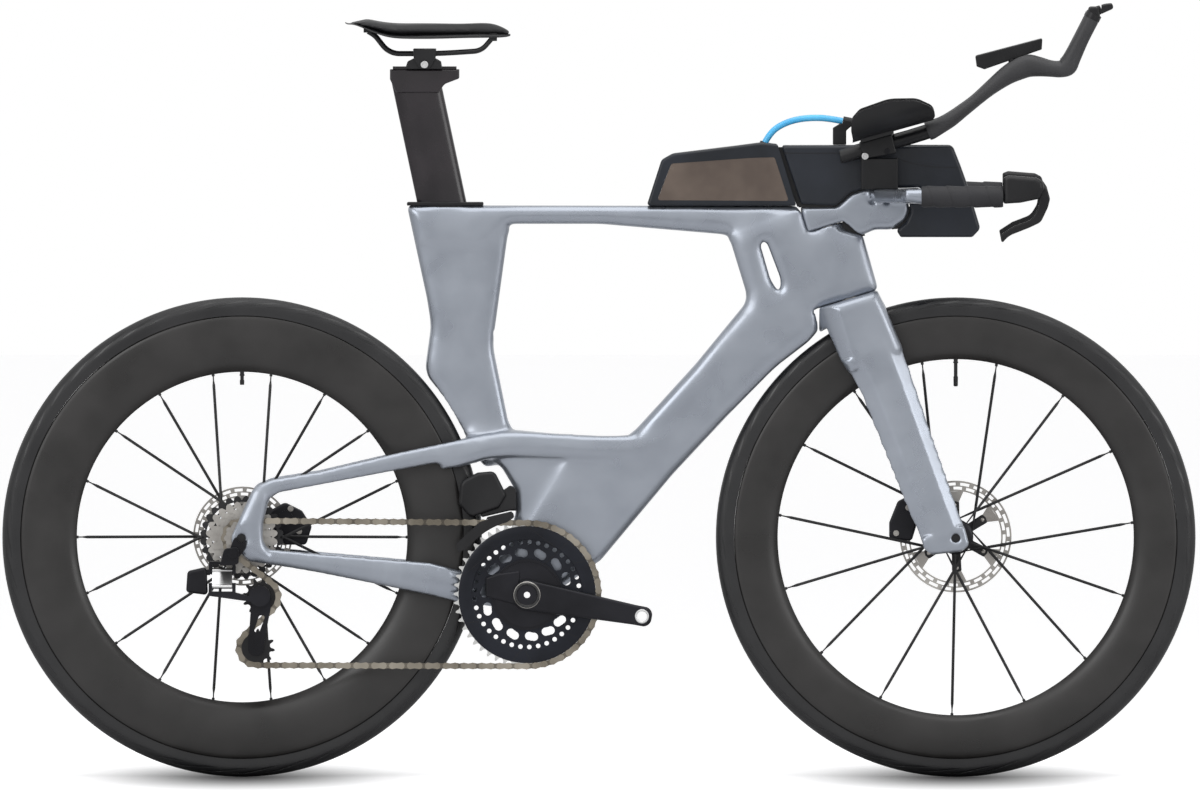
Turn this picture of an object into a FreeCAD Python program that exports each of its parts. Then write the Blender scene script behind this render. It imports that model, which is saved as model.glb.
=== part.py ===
import FreeCAD, Part
import math
import os

# Time trial bicycle, millimetres. +X forward, +Y to the rider's left, +Z up.
# The origin lies on the ground, midway between the two axles.

# Wheels
wheel_radius = 339.0
tyre_width = 28.0
tyre_wall = 2.4
rim_radius = 313.0
rim_width = 27.0
rim_wall = 1.6
front_rim_depth = 62.0
rear_rim_depth = 80.0
front_spoke_count = 15
rear_spoke_count = 18
spoke_width = 4.2
spoke_thickness = 1.1
axle_radius = 6.0
front_hub_width = 100.0
rear_hub_width = 142.0
front_rotor_radius = 79.0
rear_rotor_radius = 70.0
rotor_thickness = 1.8
rotor_band = 15.0
disc_inset = 15.0

# Frame
wheelbase = 1008.0
chainstay_reach = 403.0
bottom_bracket_drop = 80.0
head_angle = 73.0
fork_offset = 45.0
frame_wall = 3.0
top_tube_width = 38.0
seat_tube_width = 31.0
down_tube_width = 50.0
lower_panel_width = 44.0
shell_width = 86.0
shell_radius = 25.0
stay_thickness = 12.0
dropout_thickness = 9.0
tyre_gap = 8.5
head_tube_radius = 23.0
steerer_radius = 14.3
bearing_radius = 19.0
bearing_height = 8.0

# Steering, measured along the steering axis from the foot square to the front axle
crown_height = 366.0
head_height = 474.0
turn_radius = 34.0
crown_turn_radius = 56.0
turn_gap = 1.0

# Seat
post_angle = 12.0
post_chord = 70.0
post_thickness = 22.0
post_length = 300.0
saddle_width = 136.0
rail_spacing = 44.0
rail_diameter = 7.0

# Cockpit
bar_half_width = 195.0
bar_radius = 14.0
tape_thickness = 1.6
extension_spacing = 92.0
extension_radius = 9.8
grip_radius = 11.8
cup_spacing = 196.0
cup_radius = 45.0
cup_wall = 3.0
pad_thickness = 9.0
nose_box_width = 50.0
storage_box_width = 44.0
box_wall = 2.2
window_thickness = 1.5
hose_radius = 4.6
lever_width = 12.0
hood_width = 29.0
riser_width = 16.0

# Drivetrain
chain_pitch = 12.7
big_ring_teeth = 50
small_ring_teeth = 37
drive_cog = 12
cog_teeth = [10, 11, 12, 13, 14, 15, 16, 17, 19, 21, 24, 28]
pulley_teeth = 12
cog_spacing = 3.5
cog_thickness = 1.6
first_cog_inset = 5.5
roller_radius = 3.8
gullet_radius = 4.1
big_ring_line = 47.5
ring_spacing = 6.5
crank_length = 165.0
crank_angle = -10.5
crank_thickness = 14.0
pedal_thread_radius = 7.14
crank_eye_radius = 4.5
spindle_radius = 14.5
ring_thickness = 2.0
ring_bore = 46.0
ring_hole_radius = 3.2
spider_radius = 50.0

# Bottle bolts
boss_radius = 2.5
boss_depth = 9.0
boss_spacing = 64.0

# Clearances
running_gap = 0.05
seat_gap = 0.1
part_gap = 0.3

# Places worked out from the sizes
rear_axle = (-wheelbase / 2, wheel_radius)
front_axle = (wheelbase / 2, wheel_radius)
bracket = (rear_axle[0] + chainstay_reach, wheel_radius - bottom_bracket_drop)
tilt = math.radians(90 - head_angle)
stay_inner = rear_hub_width / 2
cog_line = -(stay_inner - first_cog_inset - cog_spacing * cog_teeth.index(drive_cog))
rear_disc = rear_hub_width / 2 - disc_inset
front_disc = front_hub_width / 2 - disc_inset
head_half = 24.0

vector = FreeCAD.Vector
along_y = vector(0, 1, 0)


def steer(across, up):
    """Side view place from a distance ahead of the steering axis and one along it."""
    foot_x = front_axle[0] - fork_offset * math.cos(tilt)
    foot_z = front_axle[1] - fork_offset * math.sin(tilt)
    x = foot_x + across * math.cos(tilt) - up * math.sin(tilt)
    z = foot_z + across * math.sin(tilt) + up * math.cos(tilt)
    return (x, z)


head = steer(0, head_height)
steering_axis = vector(-math.sin(tilt), 0, math.cos(tilt))
steering_side = vector(math.cos(tilt), 0, math.sin(tilt))


def from_place(place, points):
    return [(place[0] + p[0], place[1] + p[1]) + tuple(p[2:]) for p in points]


def point(place, y=0.0):
    return vector(place[0], y, place[1])


# Shape helpers

def rounded_wire(points, y=0.0):
    """Closed outline in the side plane; each point is x, z and a corner radius."""
    corners = []
    count = len(points)
    for i in range(count):
        here = vector(points[i][0], y, points[i][1])
        radius = points[i][2] if len(points[i]) > 2 else 0.0
        back = vector(points[i - 1][0], y, points[i - 1][1]) - here
        ahead = vector(points[(i + 1) % count][0], y, points[(i + 1) % count][1]) - here
        if radius <= 0:
            corners.append((here, None, here))
            continue
        half = (math.pi - back.getAngle(ahead)) / 2
        reach = min(radius * math.tan(half), 0.48 * min(back.Length, ahead.Length))
        radius = reach / math.tan(half)
        start = here + back.normalize() * reach
        end = here + ahead.normalize() * reach
        inward = (back + ahead).normalize()
        middle = here + inward * (radius / math.cos(half) - radius)
        corners.append((start, middle, end))
    edges = []
    for i in range(count):
        start, middle, end = corners[i]
        if middle is not None:
            edges.append(Part.Arc(start, middle, end).toShape())
        following = corners[(i + 1) % count][0]
        if (following - end).Length > 1e-6:
            edges.append(Part.LineSegment(end, following).toShape())
    return Part.Wire(edges)


def slab(points, half_width, edge=0.0, middle=0.0, holes=()):
    """Solid with a side view outline, a width across the bicycle and rounded rims."""
    low = middle - half_width
    face = Part.Face(rounded_wire(points, low))
    solid = face.extrude(vector(0, 2 * half_width, 0))
    for hole in holes:
        cutter = Part.Face(rounded_wire(hole, low)).extrude(vector(0, 2 * half_width, 0))
        solid = solid.cut(cutter)
    if edge > 0:
        flat = [e for e in solid.Edges if is_rim(e, middle, half_width)]
        solid = solid.makeFillet(edge, flat)
    return solid


def is_rim(edge, middle, half_width):
    ends = [edge.valueAt(edge.FirstParameter), edge.valueAt(edge.LastParameter)]
    return all(abs(abs(p.y - middle) - half_width) < 1e-4 for p in ends)


def core(points, half_width, wall, middle=0.0):
    """The hollow inside a slab."""
    face = Part.Face(rounded_wire(points, middle - half_width + wall))
    inner = face.makeOffset2D(-wall)
    return inner.extrude(vector(0, 2 * (half_width - wall), 0))


def rod(place, radius, low, high):
    """Round bar across the bicycle."""
    return Part.makeCylinder(radius, high - low, point(place, low), along_y)


def ring(place, outer, inner, low, high):
    return rod(place, outer, low, high).cut(rod(place, inner, low - 1, high + 1))


def bar_between(start, end, radius):
    return Part.makeCylinder(radius, (end - start).Length, start, end - start)


def turned(profile, axis_point, axis, start_angle=0.0, sweep=360.0):
    """Solid of revolution; the profile is a list of (radius, height) in steering terms."""
    sideways = steering_side
    points = [axis_point + sideways * p[0] + axis * p[1] for p in profile]
    face = Part.Face(Part.makePolygon(points + [points[0]]))
    face.rotate(axis_point, axis, start_angle)
    return face.revolve(axis_point, axis, sweep)


def smooth_tube(points, radius, print_as=None):
    """Round tube along straight runs joined by tangent arcs."""
    edges, radii = [], []
    start = points[0]
    for i in range(1, len(points) - 1):
        back = points[i - 1] - points[i]
        ahead = points[i + 1] - points[i]
        half = (math.pi - back.getAngle(ahead)) / 2
        reach = 0.45 * min(back.Length, ahead.Length)
        bend = reach / math.tan(half)
        radii.append(round(bend, 1))
        first = points[i] + back.normalize() * reach
        last = points[i] + ahead.normalize() * reach
        inward = (back + ahead).normalize()
        middle = points[i] + inward * (bend / math.cos(half) - bend)
        edges.append(Part.LineSegment(start, first).toShape())
        edges.append(Part.Arc(first, middle, last).toShape())
        start = last
    edges.append(Part.LineSegment(start, points[-1]).toShape())
    path = Part.Wire(edges)
    circle = Part.Wire(Part.Circle(points[0], points[1] - points[0], radius).toShape())
    solid = path.makePipeShell([circle], True, False)
    if print_as:
        ideal = math.pi * radius ** 2 * path.Length
        print(print_as, "radii", radii, "volume over section times length",
              round(solid.Volume / ideal, 3))
    return solid


def mirrored(shape):
    return shape.mirror(vector(0, 0, 0), along_y)


def both_sides(shape):
    return Part.makeCompound([shape, mirrored(shape)])


def joined(shapes):
    return shapes[0].multiFuse(list(shapes[1:])).removeSplitter()


# Toothed wheels and the chain

def pitch_radius(teeth):
    return chain_pitch / (2 * math.sin(math.pi / teeth))


def toothed_disc(place, teeth, y, thickness, phase, bore):
    """Sprocket whose gullets lie at the phase angle and every tooth after it."""
    reach = pitch_radius(teeth)
    tip = reach + 2.6
    flat = []
    for i in range(teeth):
        gullet = phase + 2 * math.pi * i / teeth
        spread = gullet_radius / reach
        for turn, radius in ((-spread, reach), (0, reach - gullet_radius), (spread, reach)):
            flat.append((gullet + turn, radius))
        crest = gullet + math.pi / teeth
        flat.append((crest - 0.8 / tip, tip))
        flat.append((crest + 0.8 / tip, tip))
    spots = [vector(place[0] + r * math.cos(a), y - thickness / 2, place[1] + r * math.sin(a))
             for a, r in flat]
    edges = []
    for i in range(teeth):
        k = 5 * i
        edges.append(Part.Arc(spots[k], spots[k + 1], spots[k + 2]).toShape())
        edges.append(Part.LineSegment(spots[k + 2], spots[k + 3]).toShape())
        edges.append(Part.LineSegment(spots[k + 3], spots[k + 4]).toShape())
        edges.append(Part.LineSegment(spots[k + 4], spots[(k + 5) % len(spots)]).toShape())
    disc = Part.Face(Part.Wire(edges)).extrude(vector(0, thickness, 0))
    return disc.cut(rod(place, bore, y - thickness, y + thickness))


guide_pulley_at = (rear_axle[0] + 28, rear_axle[1] - 83)
tension_pulley_at = (rear_axle[0] + 20, rear_axle[1] - 155)


def chain_route():
    """Stretches of the chain: wheels with their turn sense, in running order."""
    return [
        (bracket, pitch_radius(big_ring_teeth), big_ring_teeth, 1, -big_ring_line),
        (tension_pulley_at, pitch_radius(pulley_teeth), pulley_teeth, 1, cog_line),
        (guide_pulley_at, pitch_radius(pulley_teeth), pulley_teeth, -1, cog_line),
        (rear_axle, pitch_radius(drive_cog), drive_cog, 1, cog_line),
    ]


def tangent_between(first, second):
    """Leaving and arriving angles of the belt line between two wheels."""
    (c1, r1, n1, s1, y1), (c2, r2, n2, s2, y2) = first, second
    dx, dz = c2[0] - c1[0], c2[1] - c1[1]
    span = math.hypot(dx, dz)
    heading = math.atan2(dz, dx)
    if s1 == s2:
        lean = math.asin((r1 - r2) / span)
    else:
        lean = math.asin((r1 + r2) / span)
    leave = heading + s1 * (math.pi / 2 - lean)
    arrive = leave if s1 == s2 else leave + math.pi
    return leave, arrive


def chain_stations():
    """Pin places along the chain, and the gullet phase of each wheel."""
    wheels = chain_route()
    count = len(wheels)
    lines = [tangent_between(wheels[i], wheels[(i + 1) % count]) for i in range(count)]
    arcs, runs = [], []
    for i in range(count):
        enter = lines[i - 1][1]
        leave = lines[i][0]
        turn = ((enter - leave) * wheels[i][3]) % (2 * math.pi)
        arcs.append((enter, turn, turn * wheels[i][2] / (2 * math.pi)))
        start = on_wheel(wheels[i], leave)
        end = on_wheel(wheels[(i + 1) % count], lines[i][1])
        runs.append((start, end, (end - start).Length / chain_pitch))
    wrapped = sum(a[2] for a in arcs)
    straight = sum(r[2] for r in runs)
    links = 2 * round((wrapped + straight) / 2)
    stretch = (links - wrapped) / straight
    print("chain links", links, "stretch of the straight runs", round(stretch, 4))
    pins, phases, begin = [], [], 0.0
    for i in range(count):
        enter, turn, length = arcs[i]
        for k in range(math.ceil(begin), math.ceil(begin + length)):
            share = (k - begin) / length
            pins.append(on_wheel(wheels[i], enter - wheels[i][3] * turn * share))
        middle = round(begin + length / 2)
        phases.append(enter - wheels[i][3] * turn * (middle - begin) / length)
        begin += length
        start, end, length = runs[i]
        length *= stretch
        for k in range(math.ceil(begin), min(math.ceil(begin + length), links)):
            pins.append(between_wheels(start, end, (k - begin) / length))
        begin += length
    return pins, phases


def between_wheels(start, end, share):
    """Place on a straight run, which stays in each wheel's plane near that wheel."""
    spot = start + (end - start) * share
    straight = 2.5 * chain_pitch / (end - start).Length
    slant = min(max((share - straight) / (1 - 2 * straight), 0), 1) if straight < 0.4 else share
    return vector(spot.x, start.y + (end.y - start.y) * slant, spot.z)


def on_wheel(wheel, angle):
    place, radius, teeth, sense, y = wheel
    return vector(place[0] + radius * math.cos(angle), y, place[1] + radius * math.sin(angle))


def side_plate(start, end, offset, thickness, height):
    """Chain plate with round ends between two pins."""
    run = end - start
    length = run.Length
    half = height / 2
    low, high = vector(0, 0, -half), vector(0, 0, half)
    reach = vector(length, 0, 0)
    edges = [
        Part.LineSegment(low, low + reach).toShape(),
        Part.Arc(low + reach, reach + vector(half, 0, 0), high + reach).toShape(),
        Part.LineSegment(high + reach, high).toShape(),
        Part.Arc(high, vector(-half, 0, 0), low).toShape(),
    ]
    plate = Part.Face(Part.Wire(edges)).extrude(vector(0, thickness, 0))
    plate.translate(vector(0, offset, 0))
    return plate


def placed_along(shape, start, end):
    """Moves a shape drawn along X to run from start to end."""
    run = end - start
    copy = shape.copy()
    rise = math.degrees(math.atan2(run.z, math.hypot(run.x, run.y)))
    yaw = math.degrees(math.atan2(run.y, run.x))
    if run.x < 0:
        rise, yaw = 180 - rise, yaw - 180
    copy.rotate(vector(0, 0, 0), along_y, -rise)
    copy.rotate(vector(0, 0, 0), vector(0, 0, 1), yaw)
    copy.translate(start)
    return copy


def chain(pins):
    inner_face, inner_plate, outer_plate, side_gap = 1.1, 0.62, 0.62, 0.05
    plate_height = 7.6
    solids = []
    links = len(pins)
    for i in range(0, links, 2):
        a, b = pins[i], pins[(i + 1) % links]
        c = pins[(i + 2) % links]
        length = vector((b - a).Length, 0, 0)
        parts = [side_plate(a, b, inner_face, inner_plate, plate_height)]
        parts.append(side_plate(a, b, -inner_face - inner_plate, inner_plate, plate_height))
        for at in (vector(0, 0, 0), length):
            parts.append(Part.makeCylinder(roller_radius - 0.1, 2 * inner_face,
                                           at - vector(0, inner_face, 0), along_y))
        solids.append(placed_along(parts[0].multiFuse(parts[1:]), a, b))
        outer = inner_face + inner_plate + side_gap
        for offset in (outer, -outer - outer_plate):
            plate = side_plate(b, c, offset, outer_plate, plate_height - 0.6)
            solids.append(placed_along(plate, b, c))
    return Part.makeCompound(solids)


# Frame

def frame_outlines():
    """Side view outlines of the frame's panels, with corner radii."""
    top_rear = (bracket[0] - 169, bracket[1] + 548)
    tyre_cut = wheel_radius + tyre_gap
    seat_tube = from_place(bracket, [
        (-169, 548, 3), (-60, 548), (-60, 525), (-23, 524), (-29, 505, 60), (-50, 352, 90),
        (-28, 244), (0, 190), (-60, 180), (-91, 222), (-144, 315, 40), (-135, 380, 80),
        (-141, 418, 80),
    ])
    top_tube = [
        (top_rear[0], top_rear[1], 3), (steer(-29.6, 510)[0], top_rear[1] - 1),
        steer(-27, 470), steer(0, 470), steer(0, 440), steer(-100, 480),
        (steer(-146, 507)[0], steer(-146, 507)[1], 30),
        (bracket[0] + 103, bracket[1] + 523.5, 200), (bracket[0] - 23, bracket[1] + 523.5, 12),
        (bracket[0] - 60, bracket[1] + 490), (bracket[0] - 155, bracket[1] + 490),
    ]
    head_tube = [
        steer(-29.6, 510), (steer(-27, 472)), steer(3, 472), steer(43.5, 446) + (6,),
        steer(41.8, crown_height), steer(-45, crown_height), steer(-57, 336) + (8,),
        steer(-73, 326) + (60,), steer(-129, 305) + (200,), steer(-214, 259),
        steer(-234.6, 340.6), steer(-142, 402) + (60,), steer(-136, 416) + (24,),
        steer(-136, 499) + (12,), steer(-160, 503),
    ]
    down_tube = [
        steer(-110, 312), steer(-129, 305) + (200,), steer(-214, 259),
        (bracket[0] + 205, bracket[1] + 170), (bracket[0] + 103, bracket[1] + 48, 20),
        (bracket[0] + 97, bracket[1] + 44, 60), (bracket[0] + 10, bracket[1] - 18, 20),
        (bracket[0] - 20, bracket[1] - 20, 20), (bracket[0] - 30, bracket[1] + 60),
        (bracket[0] + 60, bracket[1] + 210), (bracket[0] + 133, bracket[1] + 216, 8),
        (bracket[0] + 154, bracket[1] + 232, 40), (bracket[0] + 238, bracket[1] + 324),
        steer(-142, 402),
    ]
    lower_panel = from_place(bracket, [
        (-97, -10, 12), (0, -24), (60, 30), (150, 150), (140, 214, 12), (60, 223.5, 300),
        (-21, 231), (-60, 225), (-91, 225, 6), (-92, 200, 5), (-50, 189, 12), (-36, 180, 20),
        (-18, 150, 20), (-15, 118, 30), (-30, 60, 60), (-60, 44, 30), (-110, 36),
    ])
    return top_tube, seat_tube, head_tube, down_tube, lower_panel, tyre_cut


def slot_outline():
    return [steer(-95, 481) + (3,), steer(-87.5, 477) + (3,), steer(-84, 424) + (8,),
            steer(-87, 411) + (8,), steer(-94, 403) + (2,), steer(-99.6, 425) + (20,),
            steer(-99, 475) + (3,)]


def stay_side():
    """Both stays and the dropout of the left side, cut from one leaning plate."""
    pivot_x = rear_axle[0] + 354
    outside = stay_inner + stay_thickness / 2 - 1.5
    inside = tyre_width / 2 + 9
    lean = math.atan((outside - inside) / (pivot_x - rear_axle[0]))
    stretch = 1 / math.cos(lean)
    outline = [
        (354, 147), (311, 138, 30), (223, 120), (110, 93), (42, 82, 20), (18, 72, 20), (-14, 1, 8),
        (-13, -9, 8), (12, -32, 14), (64, -40, 40), (110, -48), (266, -80), (306, -90, 20),
        (354, -92),
    ]
    hole = [
        (362, 112), (266, 105, 60), (110, 76), (51, 65, 20), (38, 56, 14), (30, 20, 20),
        (29, -2, 10), (37, -16, 10), (110, -23, 60), (266, -36), (362, -62),
    ]
    points = [(pivot_x + (p[0] - 354) * stretch, rear_axle[1] + p[1]) + tuple(p[2:])
              for p in outline]
    inner = [(pivot_x + (p[0] - 354) * stretch, rear_axle[1] + p[1]) + tuple(p[2:])
             for p in hole]
    plate = slab(points, stay_thickness / 2, 4.5, 0, [inner])
    plate.translate(vector(0, inside, 0))
    plate.rotate(vector(pivot_x, inside, 0), vector(0, 0, 1), -math.degrees(lean))
    return plate


def dropout_side():
    outline = from_place(rear_axle, [(-13, -8, 8), (12, -30, 12), (44, -36, 8), (30, -14, 8),
                                     (26, 20, 8), (36, 62, 10), (18, 68, 10), (-13, 2, 8)])
    return slab(outline, dropout_thickness / 2, 1.5, stay_inner + dropout_thickness / 2)


def turn_space(gap):
    """What the stem and the nose sweep above the head tube."""
    foot = point(steer(0, 0))
    high = head_height + 300
    rear = turned([(0, head_height - gap), (turn_radius + gap, head_height - gap),
                   (turn_radius + gap, high), (0, high)], foot, steering_axis)
    front = turned([(turn_radius - 4, head_height - gap), (turn_radius - 4, high), (120, high),
                    (120, head_height - 90), (46, head_height - 29 - gap)],
                   foot, steering_axis, -90, 180)
    return rear.fuse(front)


def crown_space(gap):
    """What the crown sweeps below the head tube."""
    foot = point(steer(0, 0))
    return turned([(0, crown_height + gap), (crown_turn_radius + gap, crown_height + gap),
                   (crown_turn_radius + gap, 150), (0, 150)], foot, steering_axis)


def aero_section(z, extra):
    """Flat wing section of the seat post, square to Z."""
    lean = math.tan(math.radians(post_angle))
    rear_x = bracket[0] - 156 - lean * (z - bracket[1] - 554) - extra
    chord = post_chord + 2 * extra
    half = post_thickness / 2 + extra
    nose = rear_x + chord
    widest = nose - 0.34 * chord
    curve = Part.BezierCurve()
    curve.setPoles([vector(widest, half, z), vector(widest - 0.3 * chord, half * 1.05, z),
                    vector(rear_x, half * 0.75, z), vector(rear_x, 0, z)])
    other = Part.BezierCurve()
    other.setPoles([vector(rear_x, 0, z), vector(rear_x, -half * 0.75, z),
                    vector(widest - 0.3 * chord, -half * 1.05, z), vector(widest, -half, z)])
    front = Part.BezierCurve()
    front.setPoles([vector(widest, -half, z), vector(widest + 0.2 * chord, -half, z),
                    vector(nose, -half * 0.7, z), vector(nose, 0, z)])
    back = Part.BezierCurve()
    back.setPoles([vector(nose, 0, z), vector(nose, half * 0.7, z),
                   vector(widest + 0.2 * chord, half, z), vector(widest, half, z)])
    return Part.Wire([c.toShape() for c in (front, back, curve, other)])


post_top = bracket[1] + 722
post_bottom = post_top - post_length


def post_solid(extra, low, high):
    return Part.makeLoft([aero_section(low, extra), aero_section(high, extra)], True, True)


def bracket_bore():
    return rod(bracket, bearing_radius + 1.6, -shell_width / 2 - 1, shell_width / 2 + 1)


def frame():
    top_tube, seat_tube, head_tube, down_tube, lower_panel, tyre_cut = frame_outlines()
    panels = [
        (top_tube, top_tube_width / 2, 9.0), (seat_tube, seat_tube_width / 2, 9.0),
        (head_tube, head_half, 8.0), (down_tube, down_tube_width / 2, 11.0),
        (lower_panel, lower_panel_width / 2, 6.0),
    ]
    outer, inner = [], []
    for outline, half_width, edge in panels:
        outer.append(slab(outline, half_width, edge))
        inner.append(core(outline, half_width, frame_wall + 0.25 * edge))
    axis_foot = point(steer(0, crown_height))
    tube_height = head_height - crown_height
    outer.append(Part.makeCylinder(head_tube_radius, tube_height, axis_foot, steering_axis))
    outer.append(rod(bracket, shell_radius, -shell_width / 2, shell_width / 2))
    for side in (stay_side(), dropout_side()):
        outer += [side, mirrored(side)]
    shell = joined(outer)
    hollow = joined(inner)
    keep = [Part.makeCylinder(head_tube_radius, tube_height + 60,
                              point(steer(0, crown_height - 20)), steering_axis),
            rod(bracket, shell_radius + 2, -shell_width, shell_width),
            post_solid(3.2, post_bottom - 62, post_top),
            slab([p[:2] + (4,) for p in slot_outline()], 60).makeOffsetShape(3, 0.01)]
    keep += bulkheads()
    for block in keep:
        hollow = hollow.cut(block)
    body = shell.cut(hollow)
    wheel_space = rod(rear_axle, tyre_cut, -tyre_width / 2 - 5.5, tyre_width / 2 + 5.5)
    sleeve = post_solid(part_gap / 2, post_bottom - 55, post_top + 50)
    slot = slab(slot_outline(), 60)
    bore = Part.makeCylinder(steerer_radius + 1.0, tube_height + 80,
                             point(steer(0, crown_height - 40)), steering_axis)
    for cutter in (turn_space(turn_gap), crown_space(turn_gap), wheel_space, sleeve, slot, bore,
                   bracket_bore(), head_seat(crown_height + turn_gap), head_seat_top(),
                   rod(rear_axle, axle_radius + seat_gap, -100, 100), boss_holes(),
                   rod(rear_axle, 24, -stay_inner, stay_inner), dropout_faces()):
        body = body.cut(cutter)
    whole = largest(body)
    sections = [whole.common(space) for space in section_spaces()]
    print("frame sections", [(len(s.Solids), round(s.Volume)) for s in sections],
          "left out", round(whole.Volume - sum(s.Volume for s in sections), 1))
    return Part.makeCompound([solid for section in sections for solid in section.Solids])


# The frame is bonded from sections that meet at these planes
stay_joint = bracket[0] - 114
foot_joint = bracket[1] + 241
stay_split = rear_axle[1] + 20
seat_joint = bracket[0] - 4
down_joint = bracket[0] + 133
head_joint = bracket[1] + 381
top_joint = bracket[0] + 291


def space(x_from, x_to, z_from, z_to, y_from=-200, y_to=200):
    return Part.makeBox(x_to - x_from, y_to - y_from, z_to - z_from, vector(x_from, y_from, z_from))


def section_spaces():
    rear, front, floor, roof = -700, 700, 100, 1000
    top = space(seat_joint, top_joint, head_joint + 60, roof)
    spaces = [top, space(rear, seat_joint, foot_joint, roof),
              space(seat_joint, front, head_joint, roof).cut(top),
              space(down_joint, front, floor, head_joint),
              space(stay_joint, down_joint, floor, foot_joint)]
    for y_from, y_to in ((-200, 0), (0, 200)):
        spaces.append(space(rear, stay_joint, floor, stay_split, y_from, y_to))
        spaces.append(space(rear, stay_joint, stay_split, foot_joint, y_from, y_to))
    return spaces


def bulkheads():
    """Walls that close each hollow section where it meets the next."""
    half = frame_wall
    return [space(-700, seat_joint, foot_joint - half, foot_joint + half),
            space(seat_joint - half, seat_joint + half, head_joint + 60, 1000),
            space(top_joint - half, top_joint + half, head_joint + 60, 1000),
            space(seat_joint, 700, head_joint - half, head_joint + half),
            space(down_joint - half, down_joint + half, 100, foot_joint)]


def dropout_faces():
    """Squares off the outer faces where the axle and the hanger clamp."""
    outer = stay_inner + dropout_thickness
    block = Part.makeBox(52, 20, 64, vector(rear_axle[0] - 30, outer, rear_axle[1] - 46))
    return both_sides(block)


def head_seat(start):
    return Part.makeCylinder(bearing_radius + seat_gap, bearing_height,
                             point(steer(0, start - 1)), steering_axis)


def head_seat_top():
    return Part.makeCylinder(bearing_radius + seat_gap, bearing_height + 2,
                             point(steer(0, head_height - turn_gap - bearing_height)),
                             steering_axis)


def boss_places():
    """The two bottle bolts on the upper side of the down tube."""
    run = vector(84, 0, 92).normalize()
    upper = (bracket[0] + 205, bracket[1] + 288)
    lower = (upper[0] - boss_spacing * run.x, upper[1] - boss_spacing * run.z)
    return [upper, lower], vector(-run.z, 0, run.x)


def boss_holes():
    places, normal = boss_places()
    holes = [Part.makeCylinder(boss_radius, 30, point(p) - normal * boss_depth, normal)
             for p in places]
    return Part.makeCompound(holes)


def frame_bearings():
    lower = crown_height + turn_gap - 1
    upper = head_height - turn_gap - bearing_height
    rings = []
    for base in (lower, upper):
        outer = Part.makeCylinder(bearing_radius, bearing_height - 0.2,
                                  point(steer(0, base + 0.1)), steering_axis)
        inner = Part.makeCylinder(steerer_radius + running_gap, bearing_height + 4,
                                  point(steer(0, base - 2)), steering_axis)
        rings.append(outer.cut(inner))
    half = shell_width / 2
    for side in (1, -1):
        low, high = sorted((side * (half - 12), side * half))
        rings.append(ring(bracket, bearing_radius + 1.5, spindle_radius + running_gap, low, high))
    return Part.makeCompound(rings)


def seat_clamp():
    """Rubber collar round the post, and the wedge that grips it inside."""
    base = bracket[1] + 549.5
    outline = [(bracket[0] - 170, base - 1.0), (bracket[0] - 170, base + 4, 2),
               (bracket[0] - 62, base + 4, 2), (bracket[0] - 62, base - 1.0)]
    collar = slab(outline, seat_tube_width / 2 + 0.5, 1.5)
    collar = collar.cut(post_solid(part_gap / 2, base - 20, base + 20))
    collar = collar.cut(frame_cover())
    return collar


def frame_cover():
    return Part.makeBox(260, 80, 30, vector(bracket[0] - 200, -40, bracket[1] + 548.2 - 30))


def rear_axle_bar():
    outer = stay_inner + dropout_thickness
    bar = rod(rear_axle, axle_radius, -outer + 1, outer - 1)
    cap = rod(rear_axle, axle_radius + 3, outer + seat_gap, outer + 3)
    tail = rod(rear_axle, axle_radius, outer - 2, outer + 1)
    return bar.fuse(cap).fuse(tail)


# Seat post and saddle

clamp_at = (bracket[0] - 145, bracket[1] + 748)


def seat_post():
    body = post_solid(0, post_bottom, post_top)
    track = slab([(clamp_at[0] - 49, clamp_at[1] - 7, 1), (clamp_at[0] + 49, clamp_at[1] - 7, 1),
                  (clamp_at[0] + 49, clamp_at[1] - 20, 3), (clamp_at[0] + 28, clamp_at[1] - 28, 12),
                  (clamp_at[0] + 20, clamp_at[1] - 40), (clamp_at[0] - 40, clamp_at[1] - 40),
                  (clamp_at[0] - 49, clamp_at[1] - 21, 3)], post_thickness / 2 + 3, 2.5)
    tee = Part.makeBox(90, 10, 4, vector(clamp_at[0] - 45, -5, clamp_at[1] - 7))
    return joined([body, track]).fuse(tee)


def saddle_cradle():
    """Block that slides on the post's track and carries the tilting rail clamp."""
    outline = from_place(clamp_at, [(-26, -2, 3), (-24, 4, 3), (-14, 9, 4), (14, 9, 4),
                                    (23, 4, 3), (25, -6.6), (-26, -6.6)])
    block = slab(outline, rail_spacing / 2 + 8, 1.5)
    groove = Part.makeBox(200, 10 + 2 * part_gap, 4 + part_gap,
                          vector(clamp_at[0] - 100, -5 - part_gap, clamp_at[1] - 7.2))
    block = block.cut(groove)
    cap_start = rail_spacing / 2 + 8 + 3 + 2 * part_gap
    pin = rod(clamp_at, 3.0, -cap_start - 1, cap_start + 1)
    head_cap = rod(clamp_at, 5.0, -cap_start - 3, -cap_start)
    return joined([block, pin, head_cap, mirrored(head_cap)])


def rail_path(side):
    y = side * rail_spacing / 2
    spots = from_place(clamp_at, [(-80, 42), (-70, 36), (-50, 10.5), (20, 10.5),
                                  (80, 14.5), (95, 32)])
    spread = [1.0, 1.0, 1.0, 1.0, 1.0, 0.86]
    return [point(p, y * s) for p, s in zip(spots, spread)]


rail_lift = 4.5


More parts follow.
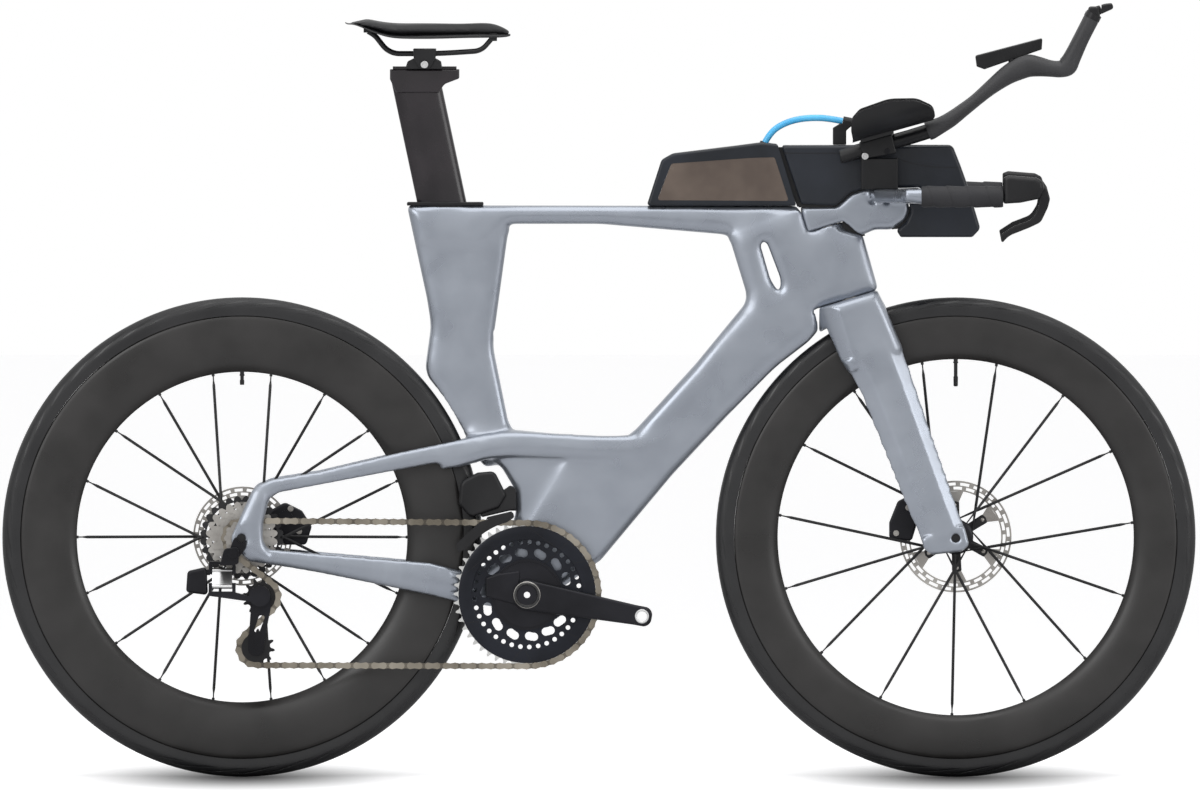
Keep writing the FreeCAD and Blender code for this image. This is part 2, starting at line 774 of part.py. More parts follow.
def saddle_rails():
    """The two rails and the side plates that hold them to the cradle's bolt."""
    rails = []
    for side in (1, -1):
        path = [p + vector(0, 0, rail_lift) for p in rail_path(side)]
        rails.append(smooth_tube(path, rail_diameter / 2))
    plates = []
    plate_low = rail_spacing / 2 + 8 + part_gap
    outline = from_place(clamp_at, [(-17, 20.5, 3), (17, 20.5, 3), (15, 8, 4), (7, -6, 5),
                                    (-7, -6, 5), (-15, 8, 4)])
    for side in (1, -1):
        middle = side * (plate_low + 1.5)
        plate = slab(outline, 1.5, 0.5, middle)
        plate = plate.cut(rod(clamp_at, 3.0 + running_gap, -60, 60))
        plates.append(plate)
    saddle_top = from_place(clamp_at, [(-17, 22, 2), (17, 22, 2), (15, 18.2), (-15, 18.2)])
    bridge = slab(saddle_top, plate_low + 3, 0.8)
    return Part.makeCompound([joined([bridge] + plates + rails)])


saddle_stations = [
    (-112, 62, 4, 0.30), (-102, 62, 6, 0.62), (-84, 62, 12, 0.92), (-55, 57, 18, 1.0),
    (-20, 55.5, 20, 0.86), (20, 55.5, 20, 0.60), (60, 55.5, 19, 0.46), (100, 55, 18, 0.40),
    (114, 51, 13, 0.34), (121, 47, 7, 0.24),
]


def saddle_section(station, top_share, bottom_share):
    """Crowned cross section at one place along the saddle."""
    along, top, depth, share = station
    half = saddle_width / 2 * share
    x = clamp_at[0] + along
    high = clamp_at[1] + top
    z_top = high - depth * (1 - top_share)
    z_low = high - depth * (1 - bottom_share)
    crown = min(6.0, 0.35 * (z_top - z_low) + 1.0)
    left, right = vector(x, half, z_low), vector(x, -half, z_low)
    curve = Part.BezierCurve()
    curve.setPoles([left, vector(x, half, z_top), vector(x, half * 0.7, z_top),
                    vector(x, 0, z_top)])
    other = Part.BezierCurve()
    other.setPoles([vector(x, 0, z_top), vector(x, -half * 0.7, z_top),
                    vector(x, -half, z_top), right])
    under = Part.BezierCurve()
    under.setPoles([right, vector(x, -half * 0.5, z_low - 0.15 * crown),
                    vector(x, half * 0.5, z_low - 0.15 * crown), left])
    return Part.Wire([curve.toShape(), other.toShape(), under.toShape()])


def saddle_padding():
    body = Part.makeLoft([saddle_section(s, 1.0, 0.45) for s in saddle_stations], True, False)
    channel = slab(from_place(clamp_at, [(-40, 70), (112, 70), (112, 53.0, 3), (100, 50.5, 8),
                                         (-25, 51, 8), (-40, 55, 3)]), 4.5, 0)
    return body.cut(channel)


def saddle_shell():
    body = Part.makeLoft([saddle_section((s[0], s[1], s[2], s[3] * 0.97), 0.42, 0.05)
                          for s in saddle_stations], True, False)
    hollow = Part.makeLoft([saddle_section((s[0], s[1], s[2], s[3] * 0.85), 0.28, -0.4)
                            for s in saddle_stations[2:-1]], True, False)
    padding = Part.makeLoft([saddle_section(s, 1.0, 0.45) for s in saddle_stations], True, False)
    body = largest(body.cut(hollow).cut(padding))
    blocks = []
    for side in (1, -1):
        nose = Part.makeBox(10, 9, 11, vector(clamp_at[0] + 92, side * 18.5 - 4.5,
                                              clamp_at[1] + 33))
        tail = Part.makeBox(12, 10, 9, vector(clamp_at[0] - 86, side * 22 - 5,
                                              clamp_at[1] + 45))
        blocks += [nose, tail]
    return joined([body] + blocks)


# Steering unit

def fork_leg():
    """Left blade, lofted from the crown to the axle."""
    stations = [(325, -37, 46, 40, 11), (287, -36, 51, 42, 11), (240, -24, 52, 43.5, 9),
                (150, -16, 55, 48, 8.5), (60, -8.5, 58.5, 55.6, 7.4),
                (8, -2, 61.5, 57.5, 7.4), (-8, 2, 60, 57.5, 7.4)]
    rings = []
    for up, rear, front, y, half in stations:
        middle = (rear + front) / 2
        reach = (front - rear) / 2
        spots = []
        for across, side in ((-reach, 0), (-reach * 0.4, half), (reach * 0.55, half),
                             (reach, 0), (reach * 0.55, -half), (-reach * 0.4, -half)):
            place = steer(middle + across, up)
            spots.append(point(place, y + side))
        rings.append(Part.makePolygon(spots + [spots[0]]))
    return Part.makeLoft(rings, True, True)


def fork():
    legs = fork_leg()
    tip = slab([steer(-2, 0) + (6,), steer(5, -12) + (10,), steer(48, -20) + (6,),
                steer(60, -14) + (5,), steer(61, 14) + (5,), steer(-1, 14) + (5,)],
               7.5, 2.0, front_hub_width / 2 + 7.5)
    crown = slab([steer(-crown_turn_radius + 12, crown_height) + (2,),
                  steer(40.5, crown_height) + (2,), steer(44.8, 341) + (20,), steer(52, 270),
                  steer(-30, 262), steer(-37, 288) + (20,), steer(-41, 326) + (8,),
                  steer(-54, 335) + (3,)], 52, 12)
    steerer = Part.makeCylinder(steerer_radius, head_height - crown_height + 22,
                                point(steer(0, crown_height - 10)), steering_axis)
    bottom = Part.makeCylinder(steerer_radius - 2.5, head_height - crown_height + 60,
                               point(steer(0, crown_height + 6)), steering_axis)
    body = joined([legs, mirrored(legs), tip, mirrored(tip), crown])
    wheel_space = rod(front_axle, wheel_radius + tyre_gap, -34, 34)
    body = body.cut(wheel_space)
    body = body.cut(crown_trim())
    body = body.cut(rod(front_axle, axle_radius + seat_gap, -100, 100))
    return body.fuse(steerer.cut(bottom)).removeSplitter()


def crown_trim():
    """Everything behind the crown's turning circle."""
    foot = point(steer(0, 0))
    return turned([(crown_turn_radius - turn_gap, crown_height + 5),
                   (crown_turn_radius + 60, crown_height + 5), (crown_turn_radius + 60, 285),
                   (crown_turn_radius - turn_gap, 285)], foot, steering_axis, 90, 180)


def front_axle_bar():
    outer = front_hub_width / 2 + 15
    bar = rod(front_axle, axle_radius, -outer + 1, outer + 1)
    cap = rod(front_axle, axle_radius + 3, outer + seat_gap, outer + 3)
    return bar.fuse(cap)


bar_height = head[1] + 44.0
wing_half = 8.5
grip_start = head[0] + 133
grip_end = head[0] + 248


def stem_outline():
    return from_place(head, [
        (-37, 26, 1), (13, 27, 10), (33, 45, 12), (48, 50, 20), (78, 56, 20), (100, 51.5, 20),
        (131, 53, 4), (134, 36, 4), (114, 35, 3), (116, 20, 14), (110, 7, 12), (91, -5, 14),
        (67, -5, 20), (47, -14, 2), (20, -40), (-30, -40),
    ])


def base_bar():
    """Stem, wing and the two forward grips, one hollow shell."""
    stem = slab(stem_outline(), 21, 7)
    outer, inner = bar_half_width + bar_radius, bar_half_width - bar_radius
    wing_plan = from_place((head[0], 0), [
        (58, 0), (66, 62, 60), (92, 130, 60), (112, outer - 6, 30), (134, outer, 12),
        (150, outer), (150, inner), (141, 150, 40), (131, 60, 60), (122, 0)])
    wing = slab(wing_plan, wing_half, 5)
    wing.rotate(vector(0, 0, 0), vector(1, 0, 0), -90)
    if wing.BoundBox.YMax < 50:
        wing.rotate(vector(0, 0, 0), vector(1, 0, 0), 180)
    wing.translate(vector(0, 0, bar_height - 1))
    wing = wing.common(Part.makeBox(2000, 400, 200, vector(-500, 0, bar_height - 100)))
    grip = Part.makeCylinder(bar_radius, grip_end - grip_start + 22,
                             vector(grip_start - 22, bar_half_width, bar_height), vector(1, 0, 0))
    dome = Part.makeCylinder(12.5, 9, point(from_place(head, [(73, 50)])[0]), vector(0, 0, 1))
    body = joined([stem, wing, mirrored(wing), grip, mirrored(grip), dome])
    body = body.cut(stem_keep())
    pocket = Part.makeCylinder(steerer_radius + seat_gap, 18, point(steer(0, head_height - 5)),
                               steering_axis)
    body = body.cut(pocket)
    for along in (65, 84):
        hole = rod((head[0] + along, head[1] + 36), 5.5, -30, -17)
        body = body.cut(hole)
    return body


def stem_keep():
    """What lies behind or below the stem's turning surfaces."""
    foot = point(steer(0, 0))
    under = turned([(0, head_height - 120), (0, head_height), (turn_radius - 4 + turn_gap, head_height),
                    (46 + turn_gap, head_height - 29), (120, head_height - 90),
                    (120, head_height - 120)], foot, steering_axis)
    behind = turned([(0, head_height - 120), (0, head_height), (turn_radius, head_height),
                     (turn_radius, head_height + 60), (turn_radius + 60, head_height + 60),
                     (turn_radius + 60, head_height - 120)], foot, steering_axis, 90, 180)
    return under.fuse(behind)


def bar_tape():
    grip = Part.makeCylinder(bar_radius + tape_thickness, grip_end - grip_start,
                             vector(grip_start, bar_half_width, bar_height), vector(1, 0, 0))
    inner = Part.makeCylinder(bar_radius + running_gap, grip_end - grip_start + 2,
                              vector(grip_start - 1, bar_half_width, bar_height), vector(1, 0, 0))
    tape = grip.cut(inner)
    return both_sides(tape.cut(tape_relief()))


def tape_relief():
    """Leaves the wing's corner free behind the tape."""
    return Part.makeBox(24, 60, 60, vector(grip_start - 6, bar_half_width - 60, bar_height - 30))


lever_pivot = (head[0] + 297, head[1] + 60)
lever_y = bar_half_width


def lever_bodies():
    outline = from_place(head, [(248.3, 71, 3), (256, 74, 3), (294, 71, 6), (304, 66, 8),
                                (306, 55, 8), (299, 41, 5), (272, 35.5, 12), (248.3, 34, 3)])
    hood = slab(outline, hood_width / 2, 6.5, lever_y)
    slot = slab([(lever_pivot[0] - 11, lever_pivot[1] - 30), (lever_pivot[0] - 11, lever_pivot[1] + 6, 8),
                 (lever_pivot[0] + 2, lever_pivot[1] + 13, 3), (lever_pivot[0] + 30, lever_pivot[1] + 13),
                 (lever_pivot[0] + 30, lever_pivot[1] - 30)], lever_width / 2 + part_gap, 0, lever_y)
    hood = hood.cut(slot)
    pin = rod(lever_pivot, 2.5, lever_y - hood_width / 2 + 2, lever_y + hood_width / 2 - 2)
    return both_sides(hood.fuse(pin))


def lever_blade():
    """Brake lever of the left side, hung from its pivot pin."""
    outline = from_place(head, [
        (290, 60, 6), (297, 67, 7), (305, 61, 6), (311, 52, 6), (314, 41, 10), (311, 29, 20),
        (301, 8, 14), (284, 0, 20), (256, -11, 30), (246, -22, 2), (243.5, -10, 3),
        (262, 2, 20), (288, 12, 20), (297, 27, 14), (299, 42, 8), (291, 50, 6),
    ])
    blade = slab(outline, lever_width / 2, 2.0, lever_y)
    return blade.cut(rod(lever_pivot, 2.5 + running_gap, lever_y - 20, lever_y + 20))


extension_y = extension_spacing / 2


def extension_path(side):
    spots = from_place(head, [(20, 98), (70, 112), (133, 129.6), (163, 144), (183, 158), (238, 203),
                              (262, 217), (290, 223), (318, 222), (338, 229), (350, 246),
                              (373, 292)])
    return [point(p, side * extension_y) for p in spots]


def extension_left():
    path = extension_path(1)
    tube = smooth_tube(path, extension_radius)
    run = path[-1] - path[-2]
    grip = Part.makeCylinder(grip_radius, 0.94 * run.Length, path[-2] + run * 0.06, run)
    return tube.fuse(grip).removeSplitter()


def riser_left():
    """Upright, clamp block and the cup's bracket on the left side."""
    half = riser_width / 2
    low = bar_height - head[1] - 1 + wing_half + seat_gap
    post = slab(from_place(head, [(48, low), (48, 96), (100, 96), (100, low)]), half, 2, extension_y)
    clamp = slab([cup_place(2, -clamp_drop) + (3,), cup_place(51, -clamp_drop) + (3,),
                  cup_place(50, -33) + (3,), cup_place(5, -28) + (3,)], half + 5, 2, extension_y)
    bore = smooth_tube(extension_path(1), extension_radius + running_gap)
    return post.fuse(clamp).cut(bore)


cup_y = cup_spacing / 2
cup_slope = math.radians(15.6)
cup_foot = (head[0] + 41, head[1] + 121)
clamp_drop = 4.5


def cup_place(along, up):
    """Side view place on the forearm line, which rises to the front."""
    return (cup_foot[0] + along * math.cos(cup_slope) - up * math.sin(cup_slope),
            cup_foot[1] + along * math.sin(cup_slope) + up * math.cos(cup_slope))


def cup_side_outline():
    outline = [(-10, -8), (-4, 2, 6), (-3, 16, 14), (2, 30, 12), (16, 39, 14), (60, 42, 60),
               (98, 32, 30), (117, 16, 14), (117, 4, 6), (104, -8)]
    return [cup_place(p[0], p[1]) + tuple(p[2:]) for p in outline]


def trough(outer, inner):
    """Half round gutter along the forearm line, cut to the cup's side view."""
    axis_start = point(cup_place(-30, cup_radius - 1), cup_y)
    axis = point(cup_place(200, cup_radius - 1), cup_y) - axis_start
    shell = Part.makeCylinder(outer, 200, axis_start, axis)
    shell = shell.cut(Part.makeCylinder(inner, 240, axis_start - axis * 0.05, axis))
    return shell.common(slab(cup_side_outline(), cup_radius + 20, 0, cup_y))


def arm_cup_left():
    cup = trough(cup_radius, cup_radius - cup_wall)
    low_y, high_y = extension_y - riser_width / 2 - 5, cup_y + 12
    arm = slab([cup_place(6, part_gap - clamp_drop), cup_place(6, 2) + (2,), cup_place(54, 2) + (2,),
                cup_place(54, part_gap - clamp_drop)], (high_y - low_y) / 2, 0, (high_y + low_y) / 2)
    inside = Part.makeCylinder(cup_radius - cup_wall / 2, 300,
                               point(cup_place(-60, cup_radius - 1), cup_y),
                               point(cup_place(200, 0)) - point(cup_place(0, 0)))
    return joined([cup, arm.cut(inside)])


def arm_pad_left():
    outer = cup_radius - cup_wall - seat_gap
    axis_start = point(cup_place(-30, cup_radius - 1), cup_y)
    axis = (point(cup_place(200, 0)) - point(cup_place(0, 0))).normalize()
    sections = []
    for along, thick in ((27, 5.0), (40, 8.0), (85, pad_thickness), (125, 8.0), (145, 5.0)):
        inner = outer - thick
        centre = axis_start + axis * along
        circle = Part.Wire(Part.Circle(centre, axis, inner).toShape())
        sections.append(circle)
    hollow = Part.makeLoft(sections, True, False)
    shell = Part.makeCylinder(outer, 118, axis_start + axis * 27, axis).cut(hollow)
    return shell.common(slab(cup_side_outline(), cup_radius + 20, 0, cup_y))


grip_top = extension_path(1)[-1]
grip_run = (extension_path(1)[-1] - extension_path(1)[-2]).normalize()
shift_pivot = (head[0] + 377, head[1] + 303)


def shifter_left():
    """Shifter pod plugged into the extension's end."""
    base = grip_top
    pod = Part.makeCylinder(grip_radius - 0.5, 9, base - grip_run * 0.4, grip_run)
    ears = slab(from_place(head, [(366, 296, 3), (370, 309, 4), (383, 309, 4), (386, 292, 3)]),
                9, 2, extension_y)
    body = pod.fuse(ears)
    slot = rod(shift_pivot, 11, extension_y - 4 - part_gap, extension_y + 4 + part_gap)
    body = body.cut(slot)
    body = body.cut(Part.makeCylinder(40, 40, base - grip_run * (40 - part_gap), grip_run))
    pin = rod(shift_pivot, 1.6, extension_y - 7, extension_y + 7)
    return body.fuse(pin)


def shift_paddle_left():
    outline = from_place(head, [(373, 299, 3), (372, 307, 3), (393, 313, 5), (403, 314, 3),
                                (404, 307, 4), (384, 298, 4)])
    paddle = slab(outline, 4, 1.5, extension_y)
    paddle = paddle.common(paddle_room())
    return paddle.cut(rod(shift_pivot, 1.6 + running_gap, extension_y - 9, extension_y + 9))


def paddle_room():
    wide = slab(from_place(head, [(387.5, 280), (387.5, 330), (430, 330), (430, 280)]), 8, 0,
                extension_y)
    return rod(shift_pivot, 10.7, extension_y - 4, extension_y + 4).fuse(wide)


def computer_mount():
    """Flat cradle for a computer, on a bridge between the extensions."""
    plate = slab(from_place(head, [(211, 225, 2), (209, 240, 3), (304, 265, 2), (303, 249, 2),
                                   (222, 221, 2)]), 26, 1.5)
    seat = extension_path(1)[6]
    bridge = Part.makeCylinder(5, extension_spacing, vector(seat.x, -extension_y, seat.z + 14),
                               along_y)
    stalk = slab([(seat.x - 6, seat.z + 8, 2), (seat.x - 6, seat.z + 22, 2), (seat.x + 6, seat.z + 24, 2),
                  (seat.x + 6, seat.z + 8, 2)], 10, 1)
    body = joined([plate, bridge, stalk])
    for side in (1, -1):
        path = extension_path(side)
        body = body.cut(smooth_tube(path, extension_radius + seat_gap))
    return body


def nose_outline():
    return from_place(head, [
        (-37, 31, 1), (-64.6, 113.6, 3), (177, 114, 10), (188, 86, 8), (197, 61, 30), (216.5, -4, 9),
        (205, -16, 5), (104, -16, 3), (97.5, -6.5), (112, 6, 12), (118, 20, 10), (115.4, 33.6, 2),
        (135.4, 34.6), (132.4, 54.4), (101, 53.2, 10), (78, 59.5, 12), (48, 51.6, 20),
        (31.8, 46.4, 12), (12, 28.4, 8),
    ])


def nose_parts():
    """Drinks box over the stem and ahead of it, and its lid."""
    solid = slab(nose_outline(), nose_box_width / 2, 5)
    hollow = core(nose_outline(), nose_box_width / 2, box_wall + 1.2)
    round_radius = math.hypot(28.5, nose_box_width / 2)
    behind = turned([(round_radius, head_height + 20), (round_radius, head_height + 160),
                     (round_radius + 60, head_height + 160), (round_radius + 60, head_height + 20)],
                    point(steer(0, 0)), steering_axis, 90, 180)
    inside_trim = turned([(round_radius - 3, head_height + 20), (round_radius - 3, head_height + 160),
                          (round_radius + 60, head_height + 160),
                          (round_radius + 60, head_height + 20)],
                         point(steer(0, 0)), steering_axis, 90, 180)
    top_dome = Part.makeCylinder(12.5 + part_gap, 12, point(from_place(head, [(73, 48)])[0]),
                                 vector(0, 0, 1))
    body = solid.cut(behind).cut(hollow.cut(inside_trim)).cut(top_dome)
    seam = from_place(head, [(-90, 102), (60, 102, 60), (101, 93, 60), (188, 82), (230, 82), (230, 160),
                             (-90, 160)])
    lid_space = slab(seam, 60)
    lid = body.common(lid_space)
    box = body.cut(slab([(p[0], p[1] - (seat_gap if i < 5 else 0)) + tuple(p[2:])
                         for i, p in enumerate(seam)], 60))
    return largest(box), largest(lid)


def largest(shape):
    return max(shape.Solids, key=lambda s: s.Volume)


def tank_outline():
    floor = bracket[1] + 548 + part_gap
    return [(head[0] - 255, floor), (head[0] - 234, head[1] + 93, 10),
            (head[0] - 218, head[1] + 102, 20), (head[0] - 129, head[1] + 113, 60),
            (head[0] - 91, head[1] + 118, 60), (head[0] - 66, head[1] + 114.5, 5),
            (head[0] - 38, floor)]


def tank_window_outline(gap):
    points = [(head[0] - 240, head[1] + 36, 3), (head[0] - 220, head[1] + 88, 5),
              (head[0] - 108, head[1] + 96, 20), (head[0] - 74, head[1] + 97, 4),
              (head[0] - 54, head[1] + 35, 3)]
    face = Part.Face(rounded_wire(points))
    return face.makeOffset2D(gap) if gap else face


def storage_box():
    half = storage_box_width / 2
    solid = slab(tank_outline(), half, 4)
    hollow = core(tank_outline(), half, box_wall + 1.2)
    round_radius = math.hypot(28.5, nose_box_width / 2) + 2 * turn_gap
    ahead = Part.makeCylinder(round_radius, 400, point(steer(0, head_height - 60)), steering_axis)
    keep_wall = Part.makeCylinder(round_radius + box_wall, 400,
                                  point(steer(0, head_height - 60)), steering_axis)
    body = solid.cut(hollow.cut(keep_wall)).cut(ahead)
    opening = tank_window_outline(0).extrude(vector(0, 6, 0))
    for base in (-half - 1, half - 5):
        cutter = opening.copy()
        cutter.translate(vector(0, base, 0))
        body = body.cut(cutter)
    inside = half - box_wall - 1.0
    divider = Part.makeBox(3, 2 * inside, 70, vector(head[0] - 102, -inside, head[1] + 29.5))
    mouth, heading = hose_points()[0], hose_start()
    gland = Part.makeCylinder(hose_radius + 2.2, 7, mouth - heading * 6.9, heading)
    body = joined([largest(body), divider.common(solid)])
    bored = Part.makeCylinder(hose_radius + seat_gap, 60, mouth - heading * 6, heading)
    return body.fuse(gland).cut(bored)


def storage_windows():
    half = storage_box_width / 2
    pane = tank_window_outline(-seat_gap).extrude(vector(0, window_thickness, 0))
    pane.translate(vector(0, half - 0.4 - window_thickness, 0))
    return both_sides(pane)


def hose_points():
    spots = [(-88, 117, 0), (-81, 130, 1), (-66, 142, 3), (-44, 150, 5), (-18, 152.5, 6),
             (4, 151, 6), (22, 147.5, 6)]
    return [vector(head[0] + x, y, head[1] + z) for x, z, y in spots]


def hose_start():
    points = hose_points()
    return (points[1] - points[0]).normalize()


def drink_hose():
    return smooth_tube(hose_points(), hose_radius, "hose")


def hose_clip():
    """Clip on the drinks box that holds the hose end and its bite valve."""
    points = hose_points()
    end, before = points[-1], points[-2]
    run = (end - before).normalize()
    socket = Part.makeCylinder(hose_radius + 2.4, 12, end + run * seat_gap, run)
    valve = Part.makeCylinder(hose_radius + 1.2, 14, end + run * 12, run)
    lid_top = 114 + seat_gap
    foot = slab(from_place(head, [(8, lid_top), (8, 138, 2), (28, 150, 4), (38, 144, 3),
                                  (27, 134, 3), (27, lid_top)]), 7, 1.5, end.y)
    body = foot.cut(bar_between(before - run * 30, end + run * seat_gap, hose_radius + 3.2))
    return joined([body, socket, valve])


# Brakes



def brake_body(place, disc_y, rotor_radius, outline, pad_outline, bolts):
    body = slab(outline, caliper_half, 3, disc_y)
    slot = rod(place, rotor_radius + 2, disc_y - 1.9, disc_y + 1.9)
    pocket = slab(pad_outline, 6.5, 0, disc_y)
    pistons = [rod(pad_middle(pad_outline), 11, disc_y - caliper_half - 2,
                   disc_y - caliper_half + 2)]
    body = joined([body] + pistons + bolts)
    return body.cut(slot).cut(pocket)


def pad_middle(outline):
    return (sum(p[0] for p in outline) / len(outline), sum(p[1] for p in outline) / len(outline))


caliper_half = 12.6
pad_clearance = 0.35
pad_depth = 4.4


def brake_pad(pad_outline, disc_y, side):
    inner = rotor_thickness / 2 + pad_clearance
    middle = disc_y + side * (inner + pad_depth / 2)
    return slab(pad_outline, pad_depth / 2, 0, middle)


def shrunk(outline, gap):
    centre = pad_middle(outline)
    spots = []
    for x, z in outline:
        reach = math.hypot(x - centre[0], z - centre[1])
        share = (reach - 1.5 * gap) / reach
        spots.append((centre[0] + (x - centre[0]) * share, centre[1] + (z - centre[1]) * share))
    return spots


front_pad_outline = from_place(front_axle, [(-83, 20), (-75, 38), (-57, 30), (-65, 12)])
rear_pad_outline = from_place(rear_axle, [(56, 12), (47, 30), (64, 38), (74, 20)])


def front_caliper():
    outline = from_place(front_axle, [(-94, -4, 6), (-94, 20, 8), (-82, 50, 8), (-66, 58, 8),
                                      (-50, 46, 8), (-56, 14, 8), (-62, -6, 6)])
    return brake_body(front_axle, front_disc, front_rotor_radius, outline, front_pad_outline, [])


def rear_caliper():
    outline = from_place(rear_axle, [(46, 2, 6), (38, 36, 8), (60, 48, 8), (84, 36, 8),
                                     (98, 14, 8), (90, -12, 6), (60, -12, 6)])
    return brake_body(rear_axle, rear_disc, rear_rotor_radius, outline, rear_pad_outline, [])


# Wheels

def tyre(place):
    """Round carcass open towards the rim."""
    half = tyre_width / 2
    centre = wheel_radius - half
    seat = rim_radius + seat_gap
    wire = casing_wire(half, centre, seat, 0.0)
    return Part.Face(wire).revolve(vector(0, 0, 0), along_y, 360).translated(point(place))


def casing_wire(half, centre, seat, shift):
    """Carcass section: outer arc, two bead feet and inner arc."""
    inner = half - tyre_wall
    low = seat - centre
    outer_y = math.sqrt(half ** 2 - low ** 2)
    inner_y = math.sqrt(inner ** 2 - low ** 2) if inner > abs(low) else 0.5
    top, top_in = vector(0, 0, centre + half), vector(0, 0, centre + inner)
    left, right = vector(0, outer_y, seat), vector(0, -outer_y, seat)
    left_in, right_in = vector(0, inner_y, seat), vector(0, -inner_y, seat)
    edges = [
        Part.Arc(left, top, right).toShape(), Part.LineSegment(right, right_in).toShape(),
        Part.Arc(right_in, top_in, left_in).toShape(), Part.LineSegment(left_in, left).toShape(),
    ]
    return Part.Wire(edges)


def rim_profile(depth, shrink):
    """Half a deep rim section, nose inwards, as radius and y with corners."""
    half = rim_width / 2 - shrink
    outer = rim_radius - shrink
    nose = rim_radius - depth + shrink * 1.3
    return [(outer, half - 1.5), (outer - 6, half), (outer - depth * 0.45, half - 0.5),
            (nose + 10, 7.5 - shrink), (nose + 2.5, 4.0 - shrink * 0.6), (nose, 0)]


def section_wire(half_profile):
    spots = [vector(0, y, r) for r, y in half_profile]
    back = [vector(0, -y, r) for r, y in reversed(half_profile) if y > 0]
    return Part.makePolygon(spots + back + [spots[0]])


def rim(place, depth, valve_reach):
    outer = Part.Face(section_wire(rim_profile(depth, 0)))
    inner = Part.Face(section_wire(rim_profile(depth, rim_wall)))
    body = outer.revolve(vector(0, 0, 0), along_y, 360)
    hollow = inner.revolve(vector(0, 0, 0), along_y, 360)
    body = body.cut(hollow).translated(point(place))
    nose = rim_radius - depth
    stem = Part.makeCylinder(3.0, valve_reach, point((place[0], place[1] + nose - valve_reach + 3)),
                             vector(0, 0, 1))
    return Part.makeCompound([largest(body), stem.cut(body)])


def hub_foot(place, angle, offset, side, flange_y):
    """Where a spoke leaves the hub; side is -1, 0 or 1 for trailing, radial or leading."""
    reach = offset if side else 20.0
    turn = angle + side * math.radians(85 if offset < 25 else 80) if side else angle
    return vector(place[0] + reach * math.cos(turn), flange_y, place[1] + reach * math.sin(turn))


def spoke(place, angle, side, offset, flange_y, nose_radius):
    foot = hub_foot(place, angle, offset, side, flange_y)
    tip = vector(place[0] + nose_radius * math.cos(angle), 0, place[1] + nose_radius * math.sin(angle))
    run = tip - foot
    blade = Part.makeBox(run.Length, spoke_thickness, spoke_width,
                         vector(0, -spoke_thickness / 2, -spoke_width / 2))
    return placed_along(blade, foot, tip)


def spokes(place, count, start, offset, near_y, far_y, depth):
    """Groups of three: one radial on the near side, two tangent on the far side."""
    step = 360.0 / count
    nose = rim_radius - depth + 5.0
    blades = []
    for i in range(count):
        angle = math.radians(start + i * step)
        side = (0, -1, 1)[i % 3]
        flange = near_y if side == 0 else far_y
        blades.append(spoke(place, angle, side, offset, flange, nose))
    return Part.makeCompound(blades)


def hub(place, near_y, far_y, offset, disc_y, core_radius):
    """Hub shell with both flanges, the rotor seat and its bearings."""
    low, high = sorted((near_y, far_y))
    shell = rod(place, core_radius, low, high)
    parts = [shell, rod(place, 23, near_y - 2, near_y + 2), rod(place, offset + 3, far_y - 2, far_y + 2)]
    parts.append(rod(place, 17, disc_y - 4, disc_y + 4))
    parts.append(rod(place, 13, low, disc_y + 6))
    body = joined(parts)
    body = body.cut(rod(place, 10.1, low - 9, disc_y + 12))
    bearings = [ring(place, 10.0, axle_radius + running_gap, low + 1, low + 9),
                ring(place, 10.0, axle_radius + running_gap, disc_y - 3, disc_y + 5)]
    return Part.makeCompound([body] + bearings)


def rotor(place, radius, y):
    """Brake disc with a ring of slots and a dark carrier."""
    band = ring(place, radius, radius - rotor_band, y - rotor_thickness / 2, y + rotor_thickness / 2)
    arms = []
    count = 6
    for i in range(count):
        angle = math.radians(60 * i + 15)
        sweep = math.radians(60 * i + 40)
        start = vector(place[0] + 19 * math.cos(angle), y, place[1] + 19 * math.sin(angle))
        reach = radius - rotor_band + 3
        end = vector(place[0] + reach * math.cos(sweep), y, place[1] + reach * math.sin(sweep))
        arm = Part.makeBox((end - start).Length, rotor_thickness, 7,
                           vector(0, -rotor_thickness / 2, -3.5))
        arms.append(placed_along(arm, start, end))
    core_ring = ring(place, 23, 17 + seat_gap, y - rotor_thickness / 2, y + rotor_thickness / 2)
    arms = [a.cut(rod(place, 20, y - 5, y + 5)) for a in arms]
    holes = []
    for i in range(24):
        angle = math.radians(15 * i)
        reach = radius - rotor_band * (0.35 if i % 2 else 0.65)
        spot = (place[0] + reach * math.cos(angle), place[1] + reach * math.sin(angle))
        holes.append(rod(spot, 2.2, y - 3, y + 3))
    return joined([band, core_ring] + arms).cut(Part.makeCompound(holes))


# Drivetrain

def cassette(phase):
    """Twelve cogs on the freehub body."""
    cogs = []
    for i, teeth in enumerate(cog_teeth):
        y = -(stay_inner - first_cog_inset) + cog_spacing * i
        start = phase if teeth == drive_cog else 0.0
        cogs.append(toothed_disc(rear_axle, teeth, y, cog_thickness, start, 10))
    low = -(stay_inner - first_cog_inset) - 2.5
    high = low + cog_spacing * 11 + 5
    body = ring(rear_axle, 15, axle_radius + running_gap, low, high)
    return joined(cogs + [body])


def around(place, reach, degrees):
    angle = math.radians(degrees)
    return (place[0] + reach * math.cos(angle), place[1] + reach * math.sin(angle))


